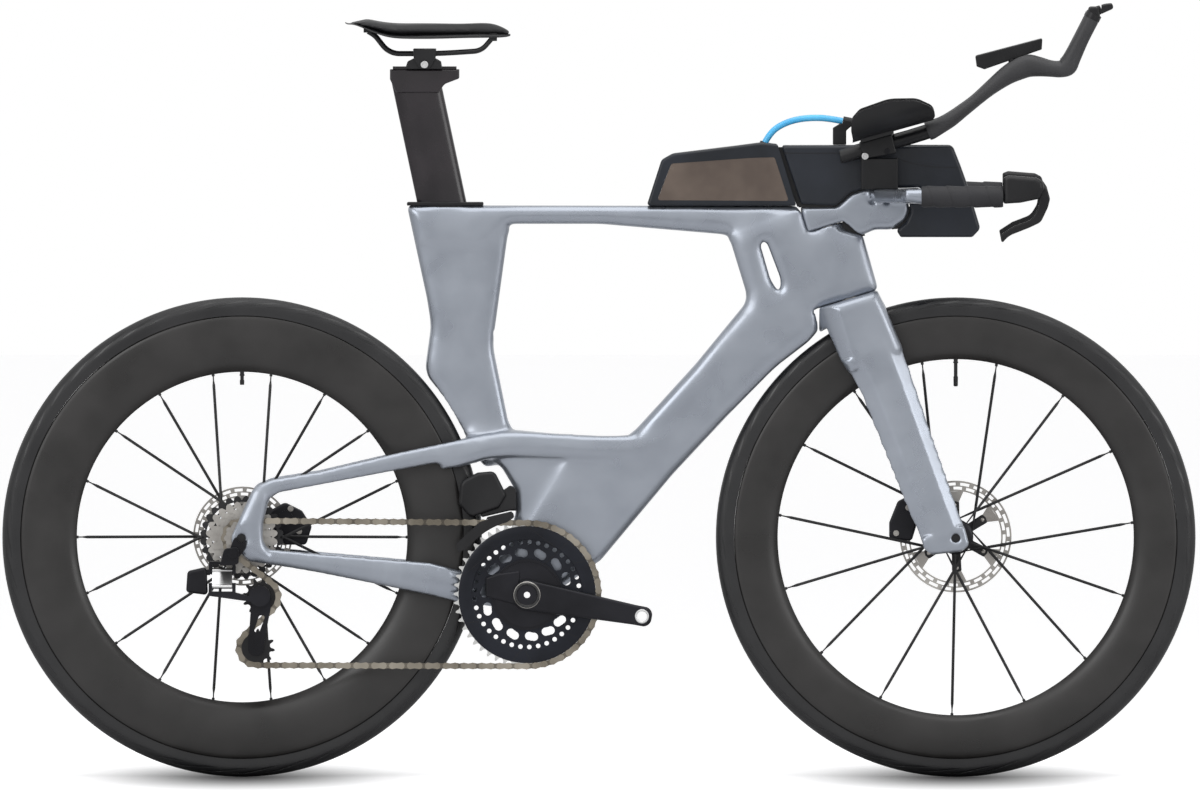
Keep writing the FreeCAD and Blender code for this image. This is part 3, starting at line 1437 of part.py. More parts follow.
def chainrings(phase):
    """Both rings on one carrier, with a row of ovals inside a row of small holes."""
    inner_row, outer_row = 59.5, pitch_radius(small_ring_teeth) - 0.8
    small_line = -big_ring_line + ring_spacing
    big = toothed_disc(bracket, big_ring_teeth, -big_ring_line, ring_thickness, phase, ring_bore)
    small = toothed_disc(bracket, small_ring_teeth, small_line, ring_thickness, 0.0, inner_row + 6)
    posts = []
    cuts = []
    for i in range(5):
        spot = around(bracket, inner_row + 8.6, 360 / small_ring_teeth * (7 * i + 3.5))
        posts.append(rod(spot, 2.6, -big_ring_line, small_line))
    for degrees in (22, 46, 72, 98, 121, 143, 175, 200, 225, 250, 276, 300, 321, 353):
        for shift in (-3.2, 0, 3.2):
            spot = around(bracket, inner_row + 0.3 * shift, degrees + shift)
            cuts.append(rod(spot, 5.8, -60, -30))
    for i in range(small_ring_teeth):
        spot = around(bracket, outer_row, 360 * i / small_ring_teeth)
        cuts.append(rod(spot, ring_hole_radius, -60, -30))
    body = joined([big, small] + posts)
    for cutter in cuts:
        body = body.cut(cutter)
    return body


def crank_outline(direction):
    """Arm seen from the side, tapering from the spindle to the pedal."""
    angle = math.radians(crank_angle)
    dx, dz = direction * math.cos(angle), direction * math.sin(angle)
    spots = [(-20, 0, 20), (-12, 22, 22), (30, 20, 60), (crank_length - 10, 14, 40),
             (crank_length + 14, 14, 14), (crank_length + 14, -14, 14),
             (crank_length - 10, -14, 40), (30, -20, 60), (-12, -22, 22)]
    return [(bracket[0] + a * dx - b * dz, bracket[1] + a * dz + b * dx, r) for a, b, r in spots]


def pedal_place(direction):
    angle = math.radians(crank_angle)
    return (bracket[0] + direction * crank_length * math.cos(angle),
            bracket[1] + direction * crank_length * math.sin(angle))


arm_start = 58.0


def crank_arm_right():
    """Arm with its spider, and the spindle pressed into it that runs through the bottom bracket."""
    middle = -arm_start - crank_thickness / 2
    arm = slab(crank_outline(1), crank_thickness / 2, 4, middle)
    arm = arm.cut(rod(pedal_place(1), pedal_thread_radius, -100, -40))
    inner = -shell_width / 2 - 0.6
    spindle = rod(bracket, spindle_radius, -arm_start - 2, arm_start + crank_thickness - 4)
    spindle = spindle.cut(rod(bracket, spindle_radius - 2.5, -arm_start - 20, arm_start + 40))
    ring_face = -big_ring_line - ring_thickness / 2 - seat_gap
    hub_part = rod(bracket, ring_bore - seat_gap, -arm_start, inner - 1.5)
    dome = rod(bracket, spider_radius, ring_face - 5.5, ring_face)
    block = slab(from_place(bracket, [(-58.5, 24, 3), (-58.5, -3, 3), (-40, -8), (-10, -16),
                                      (-10, 34), (-40, 30)]), 5.7, 3, ring_face - 5.7)
    body = joined([arm, hub_part, dome, block])
    body = body.cut(rod(bracket, spindle_radius - 2.5, -arm_start - 3, 0))
    body = body.cut(rod(bracket, crank_eye_radius, -80, 0))
    outside = -arm_start - crank_thickness
    cap = ring(bracket, 17, crank_eye_radius, outside - 0.6, outside + 2)
    arm = joined([body.cut(rod(bracket, spindle_radius, -arm_start - 2, 0)), cap])
    return Part.makeCompound([arm, spindle])


def crank_arm_left():
    middle = arm_start + crank_thickness / 2
    arm = slab(crank_outline(-1), crank_thickness / 2, 4, middle)
    arm = arm.cut(rod(pedal_place(-1), pedal_thread_radius, 40, 100))
    arm = arm.cut(rod(bracket, spindle_radius + seat_gap, 40, 100))
    collar = ring(bracket, 22, spindle_radius + seat_gap, shell_width / 2 + 0.6, arm_start + 1)
    return arm.fuse(collar).removeSplitter()


# Rear derailleur

link_length = 30.0
link_angle = math.radians(47.7)
knuckle_y = -79.0
link_drop = link_length * math.sin(link_angle)
link_shift = link_length * math.cos(link_angle)
link_spread = 12.0


def link_pivots():
    """Upper and lower pins of the outer and inner links, as (y, z) pairs."""
    lower_outer = (knuckle_y - link_spread / 2, rear_axle[1] - 68)
    lower_inner = (knuckle_y + link_spread / 2, rear_axle[1] - 68)
    upper = [(p[0] + link_shift, p[1] + link_drop) for p in (lower_outer, lower_inner)]
    return upper, [lower_outer, lower_inner]


link_front = rear_axle[0] - 6
link_rear = rear_axle[0] - 48


def pin_along_x(spot, radius, start, end):
    return Part.makeCylinder(radius, end - start, vector(start, spot[0], spot[1]), vector(1, 0, 0))


def derailleur_link(index):
    """One arm of the parallelogram, bored for its two pins."""
    upper, lower = link_pivots()
    a, b = upper[index], lower[index]
    start, end = link_rear + 7, link_front - 7
    body = pin_along_x(a, 3.0, start, end).fuse(pin_along_x(b, 3.0, start, end))
    run = vector(0, b[0] - a[0], b[1] - a[1])
    plate = Part.makeBox(end - start, 3.0, run.Length, vector(0, -1.5, 0))
    plate.rotate(vector(0, 0, 0), vector(1, 0, 0), math.degrees(math.atan2(-run.y, run.z)))
    plate.translate(vector(start, a[0], a[1]))
    body = joined([body, plate])
    for spot in (a, b):
        body = body.cut(pin_along_x(spot, 1.5 + running_gap, start - 5, end + 5))
    return body


def ear_pair(spots, reach):
    """Two cheeks that hold a pair of pins, one ahead of the links and one behind."""
    ys = [s[0] for s in spots]
    z = spots[0][1]
    ears = []
    for start in (link_rear + 2, link_front - 6.7):
        low, high = min(ys) - 5, max(ys) + 5
        foot = z - 5 + min(reach, 0)
        ears.append(Part.makeBox(4.7, high - low, 10 + abs(reach), vector(start, low, foot)))
    pins = [pin_along_x(s, 1.5, link_rear + 3, link_front - 3) for s in spots]
    return ears, pins


def rear_mech_knuckle():
    """Hanger, mounting bolt, upper knuckle and its battery."""
    upper, lower = link_pivots()
    hanger = slab(from_place(rear_axle, [(-10, 2, 8), (8, 2, 8), (6, -14, 4), (-6, -30, 7),
                                         (-20, -26, 7)]),
                  2.5, 0.8, -stay_inner - dropout_thickness - 2.6)
    hanger = hanger.cut(rod(rear_axle, axle_radius + seat_gap, -120, 0))
    bolt_spot = (rear_axle[0] - 12, rear_axle[1] - 21)
    outer_y = -stay_inner - dropout_thickness - 5.2
    bolt = rod(bolt_spot, 7, outer_y - 12, outer_y)
    ears, pins = ear_pair(upper, 8)
    top = max(e.BoundBox.ZMax for e in ears)
    low_y, high_y = ears[0].BoundBox.YMin, ears[0].BoundBox.YMax
    roof = Part.makeBox(link_front - link_rear - 4, high_y - low_y, 4,
                        vector(link_rear + 2, low_y, top - 4))
    neck = slab(from_place(rear_axle, [(-24, -14, 6), (-2, -12, 6), (-4, -36, 4), (-30, -38, 4)]), 4,
                1, outer_y - 5)
    link_block = Part.makeBox(22, max(high_y - outer_y + 9, 5), 5,
                              vector(rear_axle[0] - 30, outer_y - 9, top - 5))
    battery = slab(from_place(rear_axle, [(-78, -76, 5), (-76, -46, 6), (-49, -40, 5),
                                          (-47, -80, 5)]), 12, 4, knuckle_y + 2)
    bridge = Part.makeBox(12, 12, 8, vector(link_rear - 8, knuckle_y + 2, rear_axle[1] - 52))
    body = joined([hanger, bolt, roof, neck, link_block, battery, bridge] + ears + pins)
    return body


def rear_mech_base():
    """Lower knuckle that carries the cage."""
    upper, lower = link_pivots()
    ears, pins = ear_pair(lower, -8)
    floor_z = min(e.BoundBox.ZMin for e in ears)
    low_y, high_y = ears[0].BoundBox.YMin, ears[0].BoundBox.YMax
    floor = Part.makeBox(link_front - link_rear - 4, high_y - low_y, 6,
                         vector(link_rear + 2, low_y, floor_z))
    drum = rod(cage_pivot, 15, low_y, cog_line - 8.4)
    drum = drum.cut(Part.makeBox(60, 60, 40, vector(cage_pivot[0] - 75, low_y - 5, floor_z + 6)))
    arm = slab([(cage_pivot[0] - 14, cage_pivot[1] - 8, 3), (cage_pivot[0] + 12, cage_pivot[1] - 8, 3),
                (link_front - 3, floor_z + 5, 2), (link_rear + 3, floor_z + 5, 2),
                (link_rear + 3, floor_z, 2)],
               (high_y - low_y) / 2, 0, (high_y + low_y) / 2)
    axle = rod(cage_pivot, 4.0, cog_line - 9, cog_line - plate_gap - 1.2)
    return joined([floor, drum, arm] + ears + pins + [axle])


cage_pivot = (guide_pulley_at[0] - 2, guide_pulley_at[1] + 2)
plate_gap = 3.4
plate_thickness = 1.8


def rear_mech_cage():
    """Cage plates, pulley pins and the boss that turns on the lower knuckle."""
    g, t = guide_pulley_at, tension_pulley_at
    outline = from_place(g, [(-13, 11, 12), (13, 11, 12), (14, -12, 20)])
    outline += from_place(t, [(12, 8, 12), (11, -11, 10), (-11, -11, 10), (-10, 10, 12)])
    plate_middle = plate_gap + plate_thickness / 2
    outer_plate = slab(outline, plate_thickness / 2, 0, cog_line - plate_middle)
    inner_plate = slab(outline, plate_thickness / 2, 0, cog_line + plate_middle)
    window = from_place(g, [(-3, -26, 4), (6, -26, 4)]) + from_place(t, [(5, 22, 4), (-3, 22, 4)])
    cutter = slab(window, 30, 0, cog_line)
    pins = [rod(p, 2.5, cog_line - plate_gap - 1, cog_line + plate_gap + 1) for p in (g, t)]
    low = cog_line - plate_gap - plate_thickness
    bore = rod(cage_pivot, 4.0 + running_gap, low - 5, low + plate_thickness + 0.1)
    boss = rod(cage_pivot, 10, low - 2.8, low)
    body = joined([outer_plate.cut(cutter), boss]).cut(bore)
    body = joined([body, inner_plate.cut(cutter)] + pins)
    return body


def pulley(place, phase):
    return toothed_disc(place, pulley_teeth, cog_line, cog_thickness, phase, 2.5 + running_gap)


# Front derailleur

def front_mech():
    """Bracket, motor housing and battery on the seat tube."""
    battery = slab(from_place(bracket, [(-97, 128, 6), (-94, 160, 14), (-70, 172, 10),
                                        (-46, 174, 10), (-29, 140, 6), (-40, 122, 8),
                                        (-80, 108, 10)]), 11, 5, -36)
    housing = slab(from_place(bracket, [(-66, 108.4, 3), (-64, 126, 3), (-24, 154, 4),
                                        (-16, 150, 3), (-16, 120.2, 3)]), 9, 2, -33)
    arm = Part.makeBox(20, 16, 26, vector(bracket[0] - 35, -lower_panel_width / 2 - 12,
                                          bracket[1] + 118))
    body = joined([battery, housing, arm])
    space = lower_space()
    return largest(body.cut(space))


def lower_space():
    top_tube, seat_tube, head_tube, down_tube, lower_panel, tyre_cut = frame_outlines()
    return slab(lower_panel, lower_panel_width / 2 + seat_gap)


def front_cage():
    """Chain guide that straddles the chain above the big ring."""
    ring_tip = pitch_radius(big_ring_teeth) + 5
    outline = from_place(bracket, [(-98, 58, 3), (-100, 72, 4), (-66, 103, 8), (-20, 117, 3),
                                   (-18, 109, 3)])
    centre = -big_ring_line - 1.5
    outer = slab(outline, 0.8, 0, centre - 5.6)
    inner = slab(outline, 0.8, 0, centre + 5.6)
    clear = rod(bracket, ring_tip, -80, 0)
    top = slab(from_place(bracket, [(-58, 106), (-56, 109.5), (-22, 117.5), (-21, 115)]), 6.4, 0,
               centre)
    body = joined([outer.cut(clear), inner.cut(clear), top])
    return body


def export(name, shape):
    solids = shape.Solids
    good = all(s.isValid() for s in solids)
    box = shape.BoundBox
    print(name, len(solids), "solids", "ok" if good else "NOT VALID", round(shape.Volume / 1000, 1),
          "cm3", [round(v) for v in (box.XMin, box.XMax, box.YMin, box.YMax, box.ZMin, box.ZMax)])
    shape.exportStep("parts/" + name + ".step")


def main():
    os.makedirs("parts", exist_ok=True)
    pins, phases = chain_stations()
    nose_box, nose_lid = nose_parts()
    pieces = {
        "frame": frame,
        "frame_bearings": frame_bearings,
        "seat_clamp": seat_clamp,
        "rear_axle": rear_axle_bar,
        "rear_caliper": rear_caliper,
        "storage_box": storage_box,
        "storage_windows": storage_windows,
        "front_mech": front_mech,
        "front_cage": front_cage,
        "rear_mech_knuckle": rear_mech_knuckle,
        "rear_mech_outer_link": lambda: derailleur_link(0),
        "rear_mech_inner_link": lambda: derailleur_link(1),
        "rear_mech_base": rear_mech_base,
        "rear_mech_cage": rear_mech_cage,
        "guide_pulley": lambda: pulley(guide_pulley_at, phases[2]),
        "tension_pulley": lambda: pulley(tension_pulley_at, phases[1]),
        "chain": lambda: chain(pins),
        "drink_hose": drink_hose,
        "seat_post": seat_post,
        "saddle_cradle": saddle_cradle,
        "saddle_rails": saddle_rails,
        "saddle_shell": saddle_shell,
        "saddle_padding": saddle_padding,
        "fork": fork,
        "front_axle": front_axle_bar,
        "front_caliper": front_caliper,
        "base_bar": base_bar,
        "bar_tape": bar_tape,
        "lever_bodies": lever_bodies,
        "brake_lever_left": lever_blade,
        "brake_lever_right": lambda: mirrored(lever_blade()),
        "risers": lambda: both_sides(riser_left()),
        "extensions": lambda: both_sides(extension_left()),
        "arm_cups": lambda: both_sides(arm_cup_left()),
        "arm_pads": lambda: both_sides(arm_pad_left()),
        "shifters": lambda: both_sides(shifter_left()),
        "shift_paddle_left": shift_paddle_left,
        "shift_paddle_right": lambda: mirrored(shift_paddle_left()),
        "computer_mount": computer_mount,
        "nose_box": lambda: nose_box,
        "nose_lid": lambda: nose_lid,
        "hose_clip": hose_clip,
        "front_tyre": lambda: tyre(front_axle),
        "front_rim": lambda: rim(front_axle, front_rim_depth, 38),
        "front_spokes": lambda: spokes(front_axle, front_spoke_count, -91.2, 22, -26, 22, front_rim_depth),
        "front_hub": lambda: hub(front_axle, -26, 22, 22, front_disc, 15),
        "front_rotor": lambda: rotor(front_axle, front_rotor_radius, front_disc),
        "front_pad_inner": lambda: brake_pad(shrunk(front_pad_outline, part_gap), front_disc, -1),
        "front_pad_outer": lambda: brake_pad(shrunk(front_pad_outline, part_gap), front_disc, 1),
        "rear_tyre": lambda: tyre(rear_axle),
        "rear_rim": lambda: rim(rear_axle, rear_rim_depth, 18),
        "rear_spokes": lambda: spokes(rear_axle, rear_spoke_count, 0, 26, 34, -19, rear_rim_depth),
        "rear_hub": lambda: hub(rear_axle, 34, -19, 26, rear_disc, 16),
        "rear_rotor": lambda: rotor(rear_axle, rear_rotor_radius, rear_disc),
        "rear_pad_inner": lambda: brake_pad(shrunk(rear_pad_outline, part_gap), rear_disc, -1),
        "rear_pad_outer": lambda: brake_pad(shrunk(rear_pad_outline, part_gap), rear_disc, 1),
        "cassette": lambda: cassette(phases[3]),
        "chainrings": lambda: chainrings(phases[0]),
        "crank_arm_right": crank_arm_right,
        "crank_arm_left": crank_arm_left,
    }
    for name, make in pieces.items():
        export(name, make())


main()
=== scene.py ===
import bpy
import math
from mathutils import Matrix, Vector


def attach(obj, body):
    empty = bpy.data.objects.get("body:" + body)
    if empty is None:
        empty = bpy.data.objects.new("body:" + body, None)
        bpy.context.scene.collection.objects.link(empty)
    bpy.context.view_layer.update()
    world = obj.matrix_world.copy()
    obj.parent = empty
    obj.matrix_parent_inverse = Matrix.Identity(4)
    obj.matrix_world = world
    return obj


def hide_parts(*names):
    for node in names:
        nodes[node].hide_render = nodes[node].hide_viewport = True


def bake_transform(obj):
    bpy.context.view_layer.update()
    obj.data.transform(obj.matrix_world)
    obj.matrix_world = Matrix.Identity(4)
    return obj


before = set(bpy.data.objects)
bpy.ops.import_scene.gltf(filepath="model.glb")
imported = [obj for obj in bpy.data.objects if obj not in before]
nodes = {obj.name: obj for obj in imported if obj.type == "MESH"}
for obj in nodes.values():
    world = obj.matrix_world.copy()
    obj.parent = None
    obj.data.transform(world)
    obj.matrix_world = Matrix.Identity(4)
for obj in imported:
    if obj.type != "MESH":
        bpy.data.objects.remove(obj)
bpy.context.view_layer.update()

# places shared by many pieces, millimetres, side view x and z
rearAxle = (-504, 339)
frontAxle = (504, 339)
bracket = (-101, 259)
head = (322.382, 779.132)
clampAt = (-246, 1007)


def deselect():
    bpy.ops.object.select_all(action="DESELECT")


def activate(piece):
    deselect()
    piece.select_set(True)
    bpy.context.view_layer.objects.active = piece


def applyModifier(piece, kind, **settings):
    activate(piece)
    modifier = piece.modifiers.new(kind.title(), kind)
    for key, value in settings.items():
        setattr(modifier, key, value)
    bpy.ops.object.modifier_apply(modifier=modifier.name)


def smoothShade(piece, angle=35):
    activate(piece)
    bpy.ops.object.shade_smooth_by_angle(angle=math.radians(angle))


def dress(piece, material):
    piece.data.materials.clear()
    piece.data.materials.append(material)


def mm(x, y, z):
    return Vector((x / 1000, y / 1000, z / 1000))


def around(centre, reach, degrees):
    angle = math.radians(degrees)
    return (centre[0] + reach * math.cos(angle), centre[1] + reach * math.sin(angle))


def startCircle(name, count, fill="NOTHING"):
    deselect()
    bpy.ops.mesh.primitive_circle_add(vertices=count, fill_type=fill)
    piece = bpy.context.object
    piece.name = name
    piece.data.name = name
    bpy.ops.object.mode_set(mode="EDIT")
    bpy.ops.mesh.select_mode(type="VERT")
    bpy.ops.mesh.select_all(action="SELECT")
    bpy.ops.object.mode_set(mode="OBJECT")
    return piece


def pickVertices(piece, wanted):
    activate(piece)
    bpy.ops.object.mode_set(mode="EDIT")
    bpy.ops.mesh.select_mode(type="VERT")
    bpy.ops.mesh.select_all(action="DESELECT")
    bpy.ops.object.mode_set(mode="OBJECT")
    for index in wanted:
        piece.data.vertices[index].select = True
    bpy.ops.object.mode_set(mode="EDIT")


def pickFaces(piece, test):
    activate(piece)
    bpy.ops.object.mode_set(mode="EDIT")
    bpy.ops.mesh.select_mode(type="FACE")
    bpy.ops.mesh.select_all(action="DESELECT")
    bpy.ops.object.mode_set(mode="OBJECT")
    for face in piece.data.polygons:
        face.select = test(face)
    bpy.ops.object.mode_set(mode="EDIT")


def fixNormals(piece):
    activate(piece)
    bpy.ops.object.mode_set(mode="EDIT")
    bpy.ops.mesh.select_all(action="SELECT")
    bpy.ops.mesh.remove_doubles(threshold=0.00002)
    bpy.ops.mesh.normals_make_consistent(inside=False)
    bpy.ops.object.mode_set(mode="OBJECT")


# a closed profile of (radius, y) in millimetres turned round an axle
def spinPiece(name, profile, centre, material, body, steps=96, angle=35):
    piece = startCircle(name, len(profile))
    for vertex, (radius, y) in zip(piece.data.vertices, profile):
        vertex.co = mm(centre[0] + radius, y, centre[1])
    bpy.ops.object.mode_set(mode="EDIT")
    bpy.ops.mesh.select_all(action="SELECT")
    bpy.ops.mesh.spin(steps=steps, angle=2 * math.pi, center=mm(centre[0], 0, centre[1]),
                      axis=(0, 1, 0))
    bpy.ops.object.mode_set(mode="OBJECT")
    fixNormals(piece)
    smoothShade(piece, angle)
    dress(piece, material)
    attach(piece, body)
    return piece


# outline of (x, z, corner radius) with its corners rounded
def roundedOutline(outline, steps=5):
    spots = []
    count = len(outline)
    for i in range(count):
        here = Vector(outline[i][:2])
        radius = outline[i][2] if len(outline[i]) > 2 else 0
        back = Vector(outline[i - 1][:2]) - here
        ahead = Vector(outline[(i + 1) % count][:2]) - here
        if radius <= 0:
            spots.append(here)
            continue
        half = back.angle(ahead) / 2
        reach = min(radius / math.tan(half), 0.48 * min(back.length, ahead.length))
        first = here + back.normalized() * reach
        last = here + ahead.normalized() * reach
        for k in range(steps + 1):
            t = k / steps
            spots.append((1 - t) ** 2 * first + 2 * t * (1 - t) * here + t ** 2 * last)
    return spots


def outlinePlate(name, outline, low, high, material, body, bevel=0.0, segments=3, steps=5):
    spots = roundedOutline(outline, steps)
    piece = startCircle(name, len(spots), "NGON")
    for vertex, spot in zip(piece.data.vertices, spots):
        vertex.co = mm(spot[0], low, spot[1])
    bpy.ops.object.mode_set(mode="EDIT")
    bpy.ops.mesh.select_all(action="SELECT")
    bpy.ops.mesh.extrude_region_move(TRANSFORM_OT_translate={"value": (0, (high - low) / 1000, 0)})
    bpy.ops.object.mode_set(mode="OBJECT")
    fixNormals(piece)
    if bevel > 0:
        applyModifier(piece, "BEVEL", width=bevel / 1000, segments=segments,
                      limit_method="ANGLE", angle_limit=math.radians(48))
    smoothShade(piece, 40)
    dress(piece, material)
    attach(piece, body)
    return piece


# a skin through rings of points, capped at both ends
def loftPiece(name, sections, material, body, angle=50):
    count = len(sections[0])
    piece = startCircle(name, count)
    bpy.ops.object.mode_set(mode="EDIT")
    bpy.ops.mesh.select_all(action="SELECT")
    for _ in sections[1:]:
        bpy.ops.mesh.extrude_region_move(TRANSFORM_OT_translate={"value": (0, 0, 0.01)})
    bpy.ops.object.mode_set(mode="OBJECT")
    for k, section in enumerate(sections):
        for i, spot in enumerate(section):
            piece.data.vertices[k * count + i].co = spot
    for k in (0, len(sections) - 1):
        pickVertices(piece, range(k * count, (k + 1) * count))
        bpy.ops.mesh.edge_face_add()
        bpy.ops.object.mode_set(mode="OBJECT")
    fixNormals(piece)
    smoothShade(piece, angle)
    dress(piece, material)
    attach(piece, body)
    return piece


# stations of numbers with smooth ones put between them
def fillStations(stations, steps=4):
    result = []
    last = len(stations) - 1
    for i in range(last):
        before, here = stations[max(i - 1, 0)], stations[i]
        after, beyond = stations[i + 1], stations[min(i + 2, last)]
        for k in range(steps):
            t = k / steps
            result.append(tuple(
                0.5 * (2 * b + (c - a) * t + (2 * a - 5 * b + 4 * c - d) * t ** 2
                       + (3 * b - a - 3 * c + d) * t ** 3)
                for a, b, c, d in zip(before, here, after, beyond)))
    result.append(tuple(stations[-1]))
    return result


# rings square to a side view path; a station is x, z, y, half height and half width
def pathSections(stations, count=24, power=2.0):
    sections = []
    for i, (x, z, y, high, wide) in enumerate(stations):
        before = stations[max(i - 1, 0)]
        after = stations[min(i + 1, len(stations) - 1)]
        along = Vector((after[0] - before[0], after[1] - before[1])).normalized()
        ring = []
        for k in range(count):
            turn = 2 * math.pi * k / count
            c, s = math.cos(turn), math.sin(turn)
            across = math.copysign(abs(c) ** (2 / power), c) * wide
            up = math.copysign(abs(s) ** (2 / power), s) * high
            ring.append(mm(x - along[1] * up, y + across, z + along[0] * up))
        sections.append(ring)
    return sections


def joinPieces(pieces, name):
    deselect()
    for piece in pieces:
        piece.select_set(True)
    bpy.context.view_layer.objects.active = pieces[0]
    if len(pieces) > 1:
        bpy.ops.object.join()
    pieces[0].name = name
    return pieces[0]


def copyPiece(piece, name):
    activate(piece)
    bpy.ops.object.duplicate()
    copy = bpy.context.object
    copy.name = name
    return copy


def mirrorCopy(piece, name, body):
    copy = copyPiece(piece, name)
    copy.data.transform(Matrix.Scale(-1, 4, (0, 1, 0)))
    fixNormals(copy)
    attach(copy, body)
    return copy


def newMaterial(name, colour, roughness, metallic=0.0, coat=0.0, coatRoughness=0.1,
                specular=0.5):
    material = bpy.data.materials.new(name)
    material.use_nodes = True
    shader = material.node_tree.nodes["Principled BSDF"]
    shader.inputs["Base Color"].default_value = (*colour, 1)
    shader.inputs["Roughness"].default_value = roughness
    shader.inputs["Metallic"].default_value = metallic
    shader.inputs["Coat Weight"].default_value = coat
    shader.inputs["Coat Roughness"].default_value = coatRoughness
    shader.inputs["Specular IOR Level"].default_value = specular
    return material, shader


def addNoise(material, scale, detail=4.0):
    tree = material.node_tree
    place = tree.nodes.new("ShaderNodeTexCoord")
    noise = tree.nodes.new("ShaderNodeTexNoise")
    noise.inputs["Scale"].default_value = scale
    noise.inputs["Detail"].default_value = detail
    tree.links.new(place.outputs["Object"], noise.inputs["Vector"])
    return noise


def colourFromNoise(material, shader, noise, dark, light, low=0.35, high=0.65):
    tree = material.node_tree
    ramp = tree.nodes.new("ShaderNodeValToRGB")
    ramp.color_ramp.elements[0].position = low
    ramp.color_ramp.elements[1].position = high
    ramp.color_ramp.elements[0].color = (*dark, 1)
    ramp.color_ramp.elements[1].color = (*light, 1)
    tree.links.new(noise.outputs["Fac"], ramp.inputs["Fac"])
    tree.links.new(ramp.outputs["Color"], shader.inputs["Base Color"])


def roughnessFromNoise(material, shader, noise, low, high):
    tree = material.node_tree
    spread = tree.nodes.new("ShaderNodeMapRange")
    spread.inputs["From Min"].default_value = 0.3
    spread.inputs["From Max"].default_value = 0.7
    spread.inputs["To Min"].default_value = low
    spread.inputs["To Max"].default_value = high
    tree.links.new(noise.outputs["Fac"], spread.inputs["Value"])
    tree.links.new(spread.outputs["Result"], shader.inputs["Roughness"])


def bumpFromNoise(material, shader, noise, strength, distance):
    tree = material.node_tree
    bump = tree.nodes.new("ShaderNodeBump")
    bump.inputs["Strength"].default_value = strength
    bump.inputs["Distance"].default_value = distance
    tree.links.new(noise.outputs["Fac"], bump.inputs["Height"])
    tree.links.new(bump.outputs["Normal"], shader.inputs["Normal"])


# colour, gloss and fine relief that all vary a little over the surface
def grainMaterial(name, dark, light, roughness, metallic=0.0, coat=0.0, grain=1500.0,
                  bump=0.15, depth=0.0002, spread=0.08, specular=0.5):
    material, shader = newMaterial(name, light, roughness, metallic, coat, 0.1, specular)
    broad = addNoise(material, 14.0, 3.0)
    colourFromNoise(material, shader, broad, dark, light)
    roughnessFromNoise(material, shader, broad, roughness - spread, roughness + spread)
    fine = addNoise(material, grain, 2.0)
    bumpFromNoise(material, shader, fine, bump, depth)
    return material


framePaint = grainMaterial("framePaint", (0.275, 0.30, 0.345), (0.305, 0.33, 0.375), 0.30,
                           metallic=0.75, coat=0.35, grain=2600, bump=0.03, depth=0.0001)
postPaint = grainMaterial("postPaint", (0.007, 0.005, 0.007), (0.013, 0.009, 0.012), 0.26,
                          coat=0.3, grain=1800, bump=0.03, specular=0.35)
rimCarbon = grainMaterial("rimCarbon", (0.013, 0.012, 0.0115), (0.020, 0.0185, 0.018), 0.34,
                          grain=900, bump=0.04, specular=0.45)
spokeBlack = grainMaterial("spokeBlack", (0.010, 0.010, 0.011), (0.025, 0.025, 0.026), 0.38, 0.4,
                           specular=0.4)
satinBlack = grainMaterial("satinBlack", (0.004, 0.004, 0.005), (0.010, 0.010, 0.011), 0.38,
                           grain=1600, bump=0.12, specular=0.3)
anodizedBlack = grainMaterial("anodizedBlack", (0.006, 0.006, 0.008), (0.014, 0.014, 0.018), 0.32,
                              metallic=0.5, grain=2200, bump=0.06, specular=0.35)
boxNavy = grainMaterial("boxNavy", (0.007, 0.009, 0.013), (0.011, 0.014, 0.021), 0.36,
                        grain=1400, bump=0.10, specular=0.35)
windowSmoke = grainMaterial("windowSmoke", (0.080, 0.058, 0.046), (0.125, 0.095, 0.076), 0.22,
                            coat=0.2, grain=300, bump=0.02, specular=0.4)
padFoam = grainMaterial("padFoam", (0.005, 0.005, 0.006), (0.012, 0.012, 0.013), 0.8,
                        grain=1100, bump=0.5, depth=0.0005, specular=0.25)
barTape = grainMaterial("barTape", (0.012, 0.012, 0.014), (0.024, 0.024, 0.027), 0.60,
                        grain=900, bump=0.5, depth=0.0004, specular=0.35)
saddleCover = grainMaterial("saddleCover", (0.004, 0.004, 0.005), (0.010, 0.010, 0.011), 0.5,
                            grain=1300, bump=0.35, depth=0.0003, specular=0.3)
steel = grainMaterial("steel", (0.26, 0.245, 0.23), (0.44, 0.425, 0.40), 0.32, metallic=0.95,
                      grain=2400, bump=0.05)
cogSteel = grainMaterial("cogSteel", (0.10, 0.098, 0.094), (0.52, 0.51, 0.49), 0.3,
                         metallic=0.95, grain=330, bump=0.1)
chainSteel = grainMaterial("chainSteel", (0.17, 0.15, 0.12), (0.34, 0.31, 0.26), 0.30,
                           metallic=0.9, grain=600, bump=0.05)
# darker copy of the chain steel: painted shade for the recessed inner links and rollers
linkSteel = grainMaterial("linkSteel", (0.09, 0.08, 0.066), (0.19, 0.17, 0.14), 0.35,
                          metallic=0.9, grain=600, bump=0.05)
silverAlloy = grainMaterial("silverAlloy", (0.50, 0.50, 0.50), (0.66, 0.66, 0.66), 0.3,
                            metallic=0.95, grain=2000, bump=0.05)
hoseBlue = grainMaterial("hoseBlue", (0.05, 0.42, 0.80), (0.10, 0.55, 0.92), 0.22, coat=0.3,
                         grain=200, bump=0.02)


